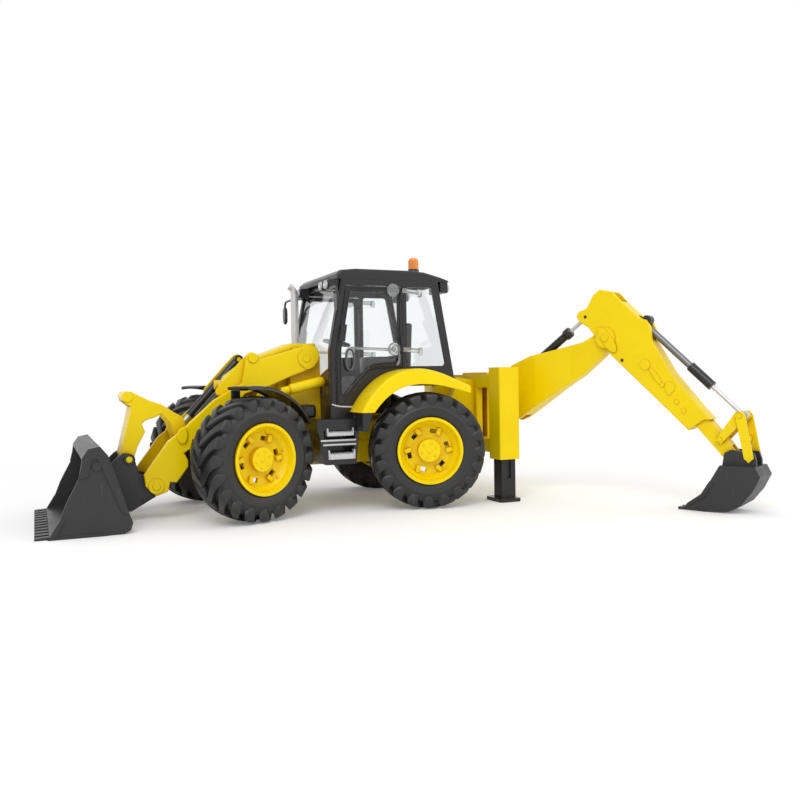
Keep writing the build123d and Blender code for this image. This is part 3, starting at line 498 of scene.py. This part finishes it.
def scaled(colour, factor):
    """The colour with each of its parts times the factor."""
    return tuple(part * factor for part in colour)


def assign(names, finish):
    """Gives each named solid the finish."""
    for name in names:
        mesh = NODES[name].data
        mesh.materials.clear()
        mesh.materials.append(bpy.data.materials[finish])


class BACKHOE_OT_finishes(bpy.types.Operator):
    """Make the finishes and give them to the solids"""

    bl_idname = "backhoe.finishes"
    bl_label = "Finishes"

    def execute(self, context):
        finish = context.scene.backhoe_finish
        moulded_group()
        scuff_group()
        yellow, black, tyre = tuple(finish.yellow), tuple(finish.black), tuple(finish.tyre)
        deeper = (yellow[0] * 0.97, yellow[1] * 0.93, yellow[2])
        # The yellow carries painted shade, a deep orange laid into its recesses.
        plastic("Yellow plastic", yellow, deeper, 0.3, 0.05, specular=0.22,
                painted_shade=(0.62, 0.32, 0.0))
        plastic("Black plastic", black, scaled(black, 0.8), 0.3, 0.06, relief=0.03,
                scuffs=((0.06, 0.06, 0.06), 0.35))
        plastic("Bucket black", scaled(black, 1.7), scaled(black, 1.3), 0.42, 0.08, 1900.0, 0.05,
                scuffs=((0.10, 0.10, 0.10), 0.5))
        plastic("Ram black", scaled(black, 0.75), scaled(black, 0.6), 0.3, 0.05)
        plastic("Tyre plastic", tyre, scaled(tyre, 0.8), 0.42, 0.08, 1500.0, 0.08,
                scuffs=((0.09, 0.09, 0.09), 0.5))
        plastic("Silver plastic", (0.62, 0.62, 0.63), (0.56, 0.56, 0.57), 0.3, 0.03, relief=0.004,
                metallic=0.45)
        clear("Clear plastic", (0.95, 0.97, 0.97), 0.02)
        clear("Frosted plastic", (0.78, 0.8, 0.81), 0.06, 0.82)
        plastic("Dull silver plastic", (0.2, 0.2, 0.205), (0.16, 0.16, 0.165), 0.3, 0.05,
                metallic=0.6)
        plastic("Grey plastic", (0.11, 0.11, 0.115), (0.08, 0.08, 0.085), 0.3, 0.05)
        plastic("Amber plastic", (0.95, 0.30, 0.015), (0.85, 0.22, 0.01), 0.16, 0.03, coat=0.4)
        assign(YELLOW_NODES, "Yellow plastic")
        assign(BLACK_NODES, "Black plastic")
        assign(DARK_RAM_NODES, "Ram black")
        assign(BUCKET_NODES, "Bucket black")
        assign(SILVER_NODES, "Silver plastic")
        assign(GREY_NODES, "Dull silver plastic")
        assign(CLEAR_NODES, "Clear plastic")
        assign(TYRE_NODES, "Tyre plastic")
        return {"FINISHED"}


class BackhoeWheels(bpy.types.PropertyGroup):
    """Sizes of the tyres, in millimetres."""

    lugs: bpy.props.IntProperty(name="Lugs", description="Bars in each of a tyre's two rows",
                                default=20, min=8, max=40)
    sweep: bpy.props.FloatProperty(
        name="Sweep", description="Angle round the tyre from a bar's middle end to its shoulder",
        default=0.36, subtype="ANGLE", unit="ROTATION")
    top: bpy.props.FloatProperty(name="Top", description="Radius over the bars", default=48.95,
                                 min=45.0, max=49.0)


class BACKHOE_OT_tyres(bpy.types.Operator):
    """Make the barred tyres"""

    bl_idname = "backhoe.tyres"
    bl_label = "Tyres"

    def execute(self, context):
        size = context.scene.backhoe_wheels
        wall = soften([(16.9, 28.1), (17.7, 29.4), (18.4, 32.0), (18.8, 34.6), (18.95, 35.4),
                       (18.95, 36.2), (18.5, 36.8), (17.9, 39.5), (16.6, 41.8), (14.0, 43.3),
                       (9.0, 44.2), (3.0, 44.5)], 2, False)
        ring = np.concatenate([wall, wall[::-1] * [-1, 1],
                               [(-16.0, 26.65), (15.3, 26.65), (15.6, 28.05)]])
        carcass = lathe(ring, 160)
        bars = [self.bar(size, 2 * math.pi * (k + 0.5 * (side < 0)) / size.lugs, side)
                for k in range(size.lugs) for side in (1, -1)]
        whole = joined([carcass, *bars])
        for wheel in WHEELS:
            tyre = wheel_piece(wheel, "barred_tyre", whole, "Tyre plastic", "wheel")
            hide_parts(f"{wheel}_tyre")
        return {"FINISHED"}

    def bar(self, size, start, side):
        """One bar. At u from 0 to 1 its top is (y, r) = T(u) and its foot B(u), and its middle lies
        at the angle start - sweep (y / BAR_REACH) round the tyre; across it runs foot, bevel, top,
        bevel, foot over the width w(u), and every width is an angle, so the valleys widen outwards.
        The inner row slopes more, to pass the loader arms."""
        u = np.array([0.0, 0.03, 0.12, 0.22, 0.32, 0.42, 0.52, 0.6, 0.66, 0.72, 0.78, 0.86, 0.93,
                      0.97, 1.0])
        key = [0.0, 0.3, 0.5, 0.64, 0.72, 0.8, 0.92, 1.0]
        top_y, drop = {
            1: ([-1.2, 6.0, 11.5, 15.8, 17.6, 18.4, 18.7, 18.8],
                [0, 0.15, 0.35, 1.0, 1.9, 3.6, 7.6, 10.2]),
            -1: ([-1.2, 6.0, 11.5, 15.2, 16.8, 17.8, 18.7, 18.9],
                 [0, 0.3, 1.2, 2.8, 4.6, 6.8, 9.4, 11.5])}[side]
        top = np.stack([np.interp(u, key, top_y), size.top - np.interp(u, key, drop)], -1)
        foot = np.stack([np.interp(u, key, [-1.2, 6.0, 10.5, 13.4, 14.8, 15.8, 16.8, 17.2]),
                         np.interp(u, key, [43.0, 42.8, 42.0, 41.0, 40.2, 39.4, 37.8, 36.6])], -1)
        width = np.interp(u, [0, 0.45, 0.68, 0.8, 0.93, 1], [5.6, 6.8, 9.6, 9.8, 6.2, 2.8])
        rise = np.where((u < 0.01) | (u > 0.99), 0.8, 1.0)
        across_t = np.array([-1.0, -1.0, -1.0, 1.0, 1.0, 1.0])
        spread_t = np.array([0.7, 0.0, -0.4, -0.4, 0.0, 0.7])
        lift = np.array([0.0, 0.93, 1.0, 1.0, 0.93, 0.0])
        yr = foot[:, None] + (top - foot)[:, None] * (lift * rise[:, None])[..., None]
        t = across_t * (width[:, None] / 2 + spread_t)
        angle = start - size.sweep * np.clip(top[:, :1] / BAR_REACH, 0, 1) + t / BAR_RADIUS
        grid = np.stack([-yr[..., 1] * np.sin(angle), side * yr[..., 0],
                         yr[..., 1] * np.cos(angle)], -1)
        middle = grid.mean(1, keepdims=True)
        grid = np.concatenate([np.repeat(middle[:1], 6, 1), grid, np.repeat(middle[-1:], 6, 1)])
        return grid.reshape(-1, 3), grid_faces(len(u) + 2, 6, False, True)


class BACKHOE_OT_rims(bpy.types.Operator):
    """Make the blocks on the rims' dishes and the heads on their hubs"""

    bl_idname = "backhoe.rims"
    bl_label = "Rim details"

    def execute(self, context):
        parts = []
        for k in range(6):
            a = math.radians(60 * k - 15)
            cos, sin = math.cos(a), math.sin(a)
            spin = np.array([[cos, 0, -sin], [0, 1, 0], [sin, 0, cos]])
            parts.append(moved(block((2.9, 8.2, 14.2), (6.7, 11.4, 20.6), 0.3), spin))
            parts.append(moved(block((-1.4, 8.0, 21.0), (1.4, 12.6, 23.8), 0.5), spin))
            head = lathe([(13.6, 0), (14.7, 0), (14.7, 0.7), (14.4, 1.0), (13.6, 1.0)], 16)
            parts.append(moved(head, spin, spin @ np.array([0, 0, 6.4])))
        parts.append(lathe([(13.6, 0), (14.5, 0), (14.5, 2.0), (14.2, 2.4), (13.6, 2.4)], 32))
        whole = joined(parts)
        for wheel in WHEELS:
            wheel_piece(wheel, "rim_blocks", whole, "Yellow plastic", "wheel")
        return {"FINISHED"}


class BACKHOE_OT_mudguards(bpy.types.Operator):
    """Make the front and rear mudguards"""

    bl_idname = "backhoe.mudguards"
    bl_label = "Mudguards"

    def execute(self, context):
        self.front()
        self.rear()
        return {"FINISHED"}

    def front(self):
        """Over a wheel's centre the section's point (y, d) at x stands at y and at s times
        (x, sqrt(R(x)^2 - x^2)), with s = 1 - d / R(x), so that the edges turn down by d. A stay of
        three blocks carries the shell."""
        x = np.linspace(-14.0, 46.0, 37)
        radius = 2 + GUARD_RADIUS * np.interp(x, [-15, 0, 12, 25, 37, 43.6, 46.5],
                                              [1.027, 1.0, 0.985, 0.965, 0.955, 0.945, 0.935])
        line = [(-11.6, 2.6), (-12.0, 1.2), (-11.2, 0.3), (-9.5, 0.0), (14.5, 0.0), (16.8, 0.4),
                (17.8, 1.4), (18.0, 3.0)]
        back = [(16.6, 3.0), (16.4, 2.4), (15.8, 1.9), (14.0, 1.6), (-9.0, 1.6), (-10.2, 1.8),
                (-10.5, 2.0), (-10.3, 2.6)]
        y, d = np.array(line + back).T
        reach = radius[:, None] - d
        grid = np.stack([x[:, None] * reach / radius[:, None], np.broadcast_to(y, reach.shape),
                         np.sqrt(radius**2 - x**2)[:, None] * reach / radius[:, None]], -1)
        guard = joined([shell(grid), block((-4, -22.5, 13.5), (4, -20.5, 54.6), 0.15),
                        block((-4, -22.5, 52.8), (4, -9, 54.6), 0.15),
                        block((-4, -22.5, 13.5), (4, -12, 15.5), 0.15)])
        for wheel in WHEELS[:2]:
            thing = wheel_piece(wheel, "guard_shell", guard, "Black plastic", "steer")
            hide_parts(f"{wheel}_mudguard")

    def rear(self):
        """From each point P of the arch towards the lip's foot Q the section runs along the top,
        round the edge and down."""
        arch = soften([(-67.5, 82.3), (-63.4, 89.5), (-58.6, 96.2), (-51.5, 104.0), (-40.8, 112.2),
                       (-26.4, 117.2), (-12.0, 118.0), (2.9, 114.8), (16.9, 109.3),
                       (32.0, 102.8)], 2, False)
        foot = soften([(-56.4, 82.3), (-52.5, 87.2), (-47.3, 92.4), (-41.5, 97.0), (-33.9, 101.1),
                       (-25.0, 103.8), (-14.0, 104.9), (2.7, 103.7), (17.0, 100.2),
                       (32.0, 96.2)], 2, False)
        deep = np.linalg.norm(foot - arch, axis=1)[:, None]
        way = (foot - arch) / deep
        y = np.array([53.2, 79.0, 80.6, 81.6, 82.0, 82.0, 80.4, 80.4, 80.0, 79.4, 78.6, 53.2])
        fixed = np.array([0.0, 0.0, 0.3, 1.1, 2.6, 0.0, 0.0, 3.6, 2.9, 2.4, 2.0, 2.0])
        d = np.where((np.arange(12) == 5) | (np.arange(12) == 6), deep, fixed)
        grid = np.stack([arch[:, :1] + way[:, :1] * d, np.broadcast_to(y, d.shape),
                         arch[:, 1:] + way[:, 1:] * d], -1)
        thing = piece("rear_mudguards", across(shell(grid)), "Yellow plastic", "base")
        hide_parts("rear_fenders")
        flap = slab([(-66.4, 84.0), (-56.4, 84.0), (-61.4, 67.0), (-66.4, 67.0)], 64.6, 81.0, 0.8)
        piece("mud_flaps", across(flap), "Black plastic", "base")


class BACKHOE_OT_arm_fittings(bpy.types.Operator):
    """Make the lugs, bosses and pin heads of the loader and the backhoe"""

    bl_idname = "backhoe.arm_fittings"
    bl_label = "Arm fittings"

    def execute(self, context):
        lug = [(-101.0, 118.5), (-101.5, 136.5), (-98.5, 140.4), (-93.5, 138.6), (-88.2, 137.2),
               (-85.8, 130.5), (-87.6, 124.6), (-94.0, 118.4)]
        knob = [(-206.0, 64.5), (-204.8, 71.0), (-201.3, 73.8), (-198.0, 73.4), (-196.8, 66.5),
                (-198.3, 61.0), (-202.4, 59.8)]
        parts = [slab(lug, 31.8, 32.9, 0.3, 1), slab(knob, 31.8, 34.2, 0.8, 2),
                 disc(-222.0, 28.0, 3.2, 32.6, 1.2)]
        piece("loader_arm_bosses", across(joined(parts)), "Yellow plastic", "loader_arms")
        gusset = [(-147.5, 131.5), (-143.0, 133.6), (-138.5, 131.0), (-134.0, 112.0),
                  (-158.0, 101.0), (-171.0, 97.0), (-174.0, 101.0), (-170.5, 106.0)]
        piece("tilt_pin_gussets", across(slab(gusset, 26.0, 27.4, 0.4, 1)), "Yellow plastic",
              "loader_arms")
        sleeve = [(-84.8, 37.5, 108.8), (-85.6, 37.5, 108.6), (-89.0, 37.5, 107.8),
                  (-113.0, 37.5, 102.0), (-114.0, 37.5, 101.8)]
        piece("lift_ram_sleeves", across(tube(sleeve, [2.0, 3.3, 4.3, 4.3, 3.9], 28)),
              "Yellow plastic", "lift_ram_barrels")
        rings = joined([disc(-240.9, 49.0, 4.6, 21.2, 0.9), disc(-229.6, 16.4, 2.2, 21.2, 0.8)])
        piece("hitch_pin_rings", across(rings), "Bucket black", "loader_bucket")
        piece("hitch_pin_heads", across(disc(-240.9, 49.0, 2.5, 21.8, 1.1)), "Yellow plastic",
              "loader_bucket")
        lean = math.radians(-54.0)
        cos, sin = math.cos(lean), math.sin(lean)
        turn = np.array([[cos, sin], [-sin, cos]])
        oval = np.stack([13.0 * np.cos(ANGLES), 4.9 * np.sin(ANGLES)], -1)
        parts = [slab(oval @ turn + [129.2, 140.0], 8.6, 9.9, 0.4),
                 disc(127.6, 141.8, 3.3, 9.6, 1.4)]
        lower = np.sign(oval) * [8.4, 2.1] * np.abs(oval / [13.0, 4.9]) ** [0.8, 1.0]
        parts.append(slab(lower @ turn + [171.8, 108.4], 7.8, 9.0, 0.4))
        heads = ((177.6, 101.0), (183.5, 94.4), (189.8, 87.2), (195.7, 79.9))
        parts += [disc(x, z, 1.9, 7.8, 1.3) for x, z in heads]
        piece("dipper_bosses", swung(across(joined(parts))), "Yellow plastic", "dipper")
        holes = [disc(x, z, 1.5, 7.9, 0.5) for x, z in ((142.4, 122.2), (108.4, 161.0))]
        piece("dipper_holes", swung(across(joined(holes))), "Black plastic", "dipper")
        cap = lathe([(-4.2, 0), (-4.2, 3.4), (-3.6, 4.0), (3.6, 4.0), (4.2, 3.4), (4.2, 0)], 32)
        piece("bucket_ram_cap", swung(moved(cap, None, (162.4, 0, 155.6))), "Black plastic",
              "dipper")
        collar = tube([(84.6, 0, 145.3), (85.4, 0, 145.9), (89.4, 0, 148.9), (90.2, 0, 149.5)],
                      [4.2, 4.9, 4.9, 4.2], 24)
        piece("dipper_ram_collar", swung(collar), "Ram black", "dipper_ram_barrel")
        return {"FINISHED"}


class BACKHOE_OT_cab_fittings(bpy.types.Operator):
    """Make the cab's beacon, lamps, door fittings, steps, mirrors, exhaust and consoles"""

    bl_idname = "backhoe.cab_fittings"
    bl_label = "Cab fittings"

    def execute(self, context):
        self.beacon()
        self.lamps()
        self.doors()
        self.steps()
        self.mirrors()
        self.inside()
        return {"FINISHED"}

    def mirrors(self):
        """Oval mirrors that hang from bent bars out beyond the doors, and the silver exhaust."""
        bend = soften([(-83.0, 52.0, 184.4), (-84.4, 62.0, 184.6), (-84.7, 75.0, 184.2),
                       (-84.7, 75.4, 176.0)], 2, False)
        bulge = (1 + 0.1 * np.sin(2 * ANGLES) ** 2)[:, None]
        glass = np.stack([4.4 * np.sin(ANGLES), 8.2 * np.cos(ANGLES)], -1) * bulge
        turn = np.array([[0, 1, 0], [1, 0, 0], [0, 0, 1.0]])
        back = moved(slab(glass, -1.3, 1.3, 0.7), turn, (-84.7, 75.0, 171.2))
        pair = piece("mirrors", across(joined([tube(bend, 1.0), back])), "Black plastic", "base")
        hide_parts("wing_mirrors")
        stack = soften([(-90.8, 22.5, 134.0), (-90.8, 22.5, 160.0), (-90.8, 22.5, 181.0),
                        (-91.0, 22.5, 188.0), (-92.4, 22.5, 191.8), (-95.4, 22.5, 194.0)],
                       3, False)
        wide = np.interp(stack[:, 2], [134, 136, 138, 181, 186, 194],
                         [4.6, 4.6, 3.5, 3.5, 3.1, 2.9])
        pipe = piece("exhaust", tube(stack, wide, 28), "Silver plastic", "base")
        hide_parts("exhaust_stack")

    def inside(self):
        """Consoles beside the seat, a small tank on each side of the hood, and on each door its
        card and two seals."""
        boxes = [block((-50, -49.5, 106), (-13, -30, 128.5), 0.18),
                 block((-50, 30, 106), (14, 49.5, 130), 0.18)]
        boxes += [across(block((-105.4, 21.0, 77.8), (-92.0, 42.0, 88.8), 0.35))]
        piece("cab_consoles_and_tank", joined(boxes), "Black plastic", "base")
        card = slab([(-74.2, 96.4), (-74.2, 112.4), (-57.8, 112.2), (-68.2, 100.2), (-72.2, 96.4)],
                    50.2, 51.2, 0.3)
        inner = [(-74.5, 96), (-74.5, 134), (-65.5, 184), (-22, 184), (-22, 123.5), (-46, 122),
                 (-58, 112), (-68, 100), (-72, 96)]
        outer = [(-77.2, 89.4), (-77.2, 134), (-67.7, 186.2), (-20.2, 186.2), (-20.2, 121),
                 (-44, 119.8), (-50, 118), (-55, 113.2), (-60, 107.9), (-65, 102.6),
                 (-69.6, 96.4), (-74.2, 89.4)]
        parts = [card]
        for line in (inner, outer):
            ring = np.insert(eased(line, 3.0), 1, 53.1, axis=1)
            parts.append(tube(np.concatenate([ring, ring[:1]]), 0.65, 8))
        seals = joined(parts)
        for side, way in SIDES:
            piece(f"{side}_door_seals", flipped(seals, way), "Black plastic", f"{side}_door")

    def beacon(self):
        """Amber lens r(a, z) = 4.5 (1 + 0.025 cos 18 a), drawn in over the top millimetre and a
        half, on a black foot."""
        a = around(144)
        z = np.array([0, 0.3, 1, 3, 5, 7, 8.6, 9.4, 10.0, 10.4, 10.5])
        r = np.array([4.2, 4.5, 4.5, 4.5, 4.5, 4.5, 4.4, 4.1, 3.3, 1.8, 0.0])
        flute = 1 + 0.025 * np.cos(18 * a)[:, None] * (z < 8)
        x0, y0, z0 = 6.0, -25.0, 206.6
        grid = np.stack([x0 + np.cos(a)[:, None] * r * flute, y0 + np.sin(a)[:, None] * r * flute,
                         np.broadcast_to(z0 + z, (144, len(z)))], -1)
        low = np.concatenate([np.broadcast_to([x0, y0, z0], (144, 1, 3)), grid], 1)
        lens = piece("beacon_lens", (low.reshape(-1, 3), grid_faces(144, len(z) + 1, True, False)),
                     "Amber plastic", "base")
        points, faces = lathe([(201.5, 0), (201.5, 5.6), (203.4, 5.5), (204.2, 5.0), (206.8, 4.9),
                               (206.8, 0)], 48)
        foot = (points[:, [0, 2, 1]] + np.array([x0, y0, 0]), faces)
        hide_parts("beacon")
        piece("beacon_foot", foot, "Black plastic", "base")

    def lamps(self):
        """Silver bowls and clear lenses, turned about X, in the fronts of the work lamps."""
        rims, lenses = [], []
        bowl = [(0, 0), (0.3, 1.2), (0.9, 2.6), (1.0, 3.0), (0.9, 3.5), (0.0, 3.6), (-0.6, 3.5),
                (-0.6, 0)]
        lens = [(0.5, 0), (0.5, 2.7), (1.2, 2.5), (1.6, 1.6), (1.8, 0.0)]
        for x, z, way, places in ((-84.2, 188.4, -1, (46, 33)), (27.2, 188.3, 1, (48, 35))):
            turn = np.array([[0, way, 0], [1, 0, 0], [0, 0, 1.0]])
            for y in places:
                rims.append(across(moved(lathe(bowl, 28), turn, (x, y, z))))
                lenses.append(across(moved(lathe(lens, 28), turn, (x, y, z))))
        piece("lamp_bowls", joined(rims), "Silver plastic", "base")
        piece("lamp_lenses", joined(lenses), "Clear plastic", "base")

    def doors(self):
        """Clear hinge discs, a clear rail with its bent end, bars on the window behind, and an oval
        grip ring."""
        hinge = soften([(0, 0.01), (1.4, 0.01), (2.0, 1.3), (1.4, 2.6), (1.9, 4.4), (1.7, 5.5),
                        (0.2, 5.8), (0, 4.9)], 1, False)
        hinge[0, 1] = hinge[-1, 1] = 0.0
        wide = np.cos(ANGLES)
        loop = np.stack([-66.8 + 3.6 * np.sign(wide) * np.abs(wide) ** 0.8, 0 * wide + 54.6,
                         125.8 + 8.6 * np.sin(ANGLES)], -1)
        run = np.stack([np.gradient(loop[:, 0]), 0 * wide, np.gradient(loop[:, 2])], -1)
        run /= np.linalg.norm(run, axis=1)[:, None]
        out = np.cross(run, [0, 1.0, 0])
        a = around(10)[None, :, None]
        ring = loop[:, None] + np.cos(a) * out[:, None] + 1.3 * np.sin(a) * np.array([0, 1.0, 0])
        grip = (ring.reshape(-1, 3), grid_faces(40, 10, True, True))
        hinges = ((-26.6, 184.6), (-26.4, 134.6))
        bend = soften([(-24.0, 54.3, 134.0), (-21.8, 54.3, 130.0), (-22.0, 54.3, 124.0),
                       (-24.5, 54.3, 120.5)], 2, False)
        for side, way in SIDES:
            parts = [tube([(-66.0, 54.6, 135.6), (-45.0, 54.6, 134.8), (-26.0, 54.6, 134.0)], 1.2)]
            parts += [moved(lathe(hinge, 36), None, (x, 53.2, z)) for x, z in hinges]
            parts.append(tube(bend, 1.1))
            piece(f"{side}_door_clear_fittings", flipped(joined(parts), way), "Frosted plastic",
                  f"{side}_door")
            parts = [tube([(-18.4, 55.2, z), (-12.0, 55.2, z - 0.6), (-3.0, 54.8, z - 1.4)],
                          1.9, 12, 0.6) for z in (184.4, 134.4)]
            parts += [block((-4.6, 53.1, z - 4.6), (0.0, 55.4, z + 2.2), 0.5)
                      for z in (183.6, 133.6)]
            piece(f"{side}_window_clear_fittings", flipped(joined(parts), way), "Frosted plastic",
                  "base")
            piece(f"{side}_door_grip", flipped(grip, way), "Grey plastic", f"{side}_door")

    def steps(self):
        """Silver treads with toothed tops, the bars between them and the sill under each door."""
        parts = []
        teeth = np.arange(12)
        for x0, x1, z0, z1 in ((-91.0, -69.0, 63.4, 66.6), (-90.0, -68.0, 44.2, 48.9)):
            parts.append(block((x0, 54.0, z0), (x1, 65.4, z1), 0.16))
            parts += [block((x, 55.0, z1 - 0.6), (x + 1.2, 65.2, z1 + 0.9), 0.4, 5)
                      for x in x0 + 0.6 + teeth * (x1 - x0 - 2.4) / 11]
            parts += [block((x - 0.7, 60.0, z0), (x + 0.7, 65.6, z1 + 3.4), 0.3, 7)
                      for x in (x0, x1)]
        for z, x0 in ((59.9, -97.0), (56.4, -95.0)):
            parts.append(tube([(x0, 64.2, z), (-80.0, 64.2, z), (-66.5, 64.2, z)], 0.9))
        sill = soften([(-83.2, 53.4, 89.2), (-79.0, 53.4, 87.4), (-72.0, 53.4, 86.6),
                       (-64.0, 53.4, 86.4)], 2, False)
        parts.append(tube(sill, 0.8))
        piece("silver_steps", across(joined(parts)), "Silver plastic", "base")


class BACKHOE_OT_stage(bpy.types.Operator):
    """Make the camera, floor, lamps and world"""

    bl_idname = "backhoe.stage"
    bl_label = "Stage"

    def execute(self, context):
        scene = context.scene
        studio = scene.backhoe_studio
        scene.view_settings.view_transform = "Standard"
        data = bpy.data.cameras.new("camera")
        data.lens = CAMERA_LENS
        data.sensor_width = CAMERA_SENSOR
        data.clip_start = 0.01
        camera = bpy.data.objects.new("camera", data)
        scene.collection.objects.link(camera)
        back = CAMERA_RIGHT.cross(CAMERA_UP).normalized()
        turn = Matrix((CAMERA_RIGHT, CAMERA_UP, back)).transposed().to_4x4()
        camera.matrix_world = Matrix.Translation(CAMERA_PLACE) @ turn
        scene.camera = camera

        mesh = bpy.data.meshes.new("floor")
        corners = ((-1, -1), (1, -1), (1, 1), (-1, 1))
        mesh.from_pydata([(FLOOR_HALF * x, FLOOR_HALF * y, 0) for x, y in corners], [],
                         [(0, 1, 2, 3)])
        floor = bpy.data.objects.new("floor", mesh)
        scene.collection.objects.link(floor)
        mesh.materials.append(self.floor_material())

        self.lamp("key lamp", (-0.75, -1.25, 1.5), 1.1, studio.key)
        self.lamp("side lamp", (1.3, -0.8, 0.9), 1.2, studio.key * 0.3)
        world = bpy.data.worlds.new("studio")
        scene.world = world
        world.use_nodes = True
        tree = world.node_tree
        path = tree.nodes.new("ShaderNodeLightPath")
        seen = calculated(tree, "MAXIMUM", path.outputs["Is Camera Ray"],
                          path.outputs["Is Transmission Ray"])
        seen = calculated(tree, "MAXIMUM", seen, path.outputs["Is Glossy Ray"])
        level = spread(tree, seen, 0.0, 1.0, studio.ambient, 1.0)
        background = tree.nodes["Background"]
        background.inputs["Color"].default_value = (1.0, 1.0, 1.0, 1.0)
        tree.links.new(level, background.inputs["Strength"])
        return {"FINISHED"}

    def lamp(self, name, place, size, power):
        """A square soft lamp that faces the toy."""
        data = bpy.data.lights.new(name, "AREA")
        data.size = size
        data.energy = power
        lamp = bpy.data.objects.new(name, data)
        bpy.context.scene.collection.objects.link(lamp)
        turn = (LAMP_AIM - Vector(place)).to_track_quat("-Z", "Y").to_matrix().to_4x4()
        lamp.matrix_world = Matrix.Translation(place) @ turn

    def floor_material(self):
        """White paper that keeps the shadow near the toy and goes to plain white far off."""
        mat, tree, bsdf = new_material("Floor paper")
        fill(bsdf, {"Base Color": (0.96, 0.96, 0.96, 1.0), "Roughness": 0.9,
                    "Specular IOR Level": 0.1})
        place = tree.nodes.new("ShaderNodeTexCoord")
        length = tree.nodes.new("ShaderNodeVectorMath")
        length.operation = "LENGTH"
        tree.links.new(place.outputs["Object"], length.inputs[0])
        fade = spread(tree, length.outputs["Value"], *FLOOR_FADE, 0.0, 1.0)
        path = tree.nodes.new("ShaderNodeLightPath")
        lift = tree.nodes.new("ShaderNodeEmission")
        seen = spread(tree, path.outputs["Is Camera Ray"], 0.0, 1.0, 0.0, FLOOR_LIFT)
        tree.links.new(seen, lift.inputs["Strength"])
        near = tree.nodes.new("ShaderNodeAddShader")
        tree.links.new(bsdf.outputs[0], near.inputs[0])
        tree.links.new(lift.outputs[0], near.inputs[1])
        glow = tree.nodes.new("ShaderNodeEmission")
        blend = tree.nodes.new("ShaderNodeMixShader")
        tree.links.new(fade, blend.inputs["Fac"])
        tree.links.new(near.outputs[0], blend.inputs[1])
        tree.links.new(glow.outputs[0], blend.inputs[2])
        tree.links.new(blend.outputs[0], tree.nodes["Material Output"].inputs["Surface"])
        return mat


class BACKHOE_PT_panel(bpy.types.Panel):
    """Lists the makers in the sidebar"""

    bl_label = "Backhoe"
    bl_idname = "BACKHOE_PT_panel"
    bl_space_type = "VIEW_3D"
    bl_region_type = "UI"
    bl_category = "Backhoe"

    def draw(self, context):
        for group in (context.scene.backhoe_finish, context.scene.backhoe_wheels,
                      context.scene.backhoe_studio):
            for label in group.__annotations__:
                self.layout.prop(group, label)
        for maker in OPERATORS:
            self.layout.operator(maker.bl_idname)


OPERATORS = (BACKHOE_OT_finishes, BACKHOE_OT_tyres, BACKHOE_OT_rims, BACKHOE_OT_mudguards,
             BACKHOE_OT_arm_fittings, BACKHOE_OT_cab_fittings, BACKHOE_OT_stage)
CLASSES = (BackhoeFinish, BackhoeWheels, BackhoeStudio, *OPERATORS, BACKHOE_PT_panel)


def register():
    for cls in CLASSES:
        bpy.utils.register_class(cls)
    bpy.types.Scene.backhoe_finish = bpy.props.PointerProperty(type=BackhoeFinish)
    bpy.types.Scene.backhoe_wheels = bpy.props.PointerProperty(type=BackhoeWheels)
    bpy.types.Scene.backhoe_studio = bpy.props.PointerProperty(type=BackhoeStudio)


def unregister():
    del bpy.types.Scene.backhoe_studio
    del bpy.types.Scene.backhoe_wheels
    del bpy.types.Scene.backhoe_finish
    for cls in reversed(CLASSES):
        bpy.utils.unregister_class(cls)


def main():
    register()
    for maker in OPERATORS:
        group, name = maker.bl_idname.split(".")
        getattr(getattr(bpy.ops, group), name)()


if __name__ == "__main__":
    main()
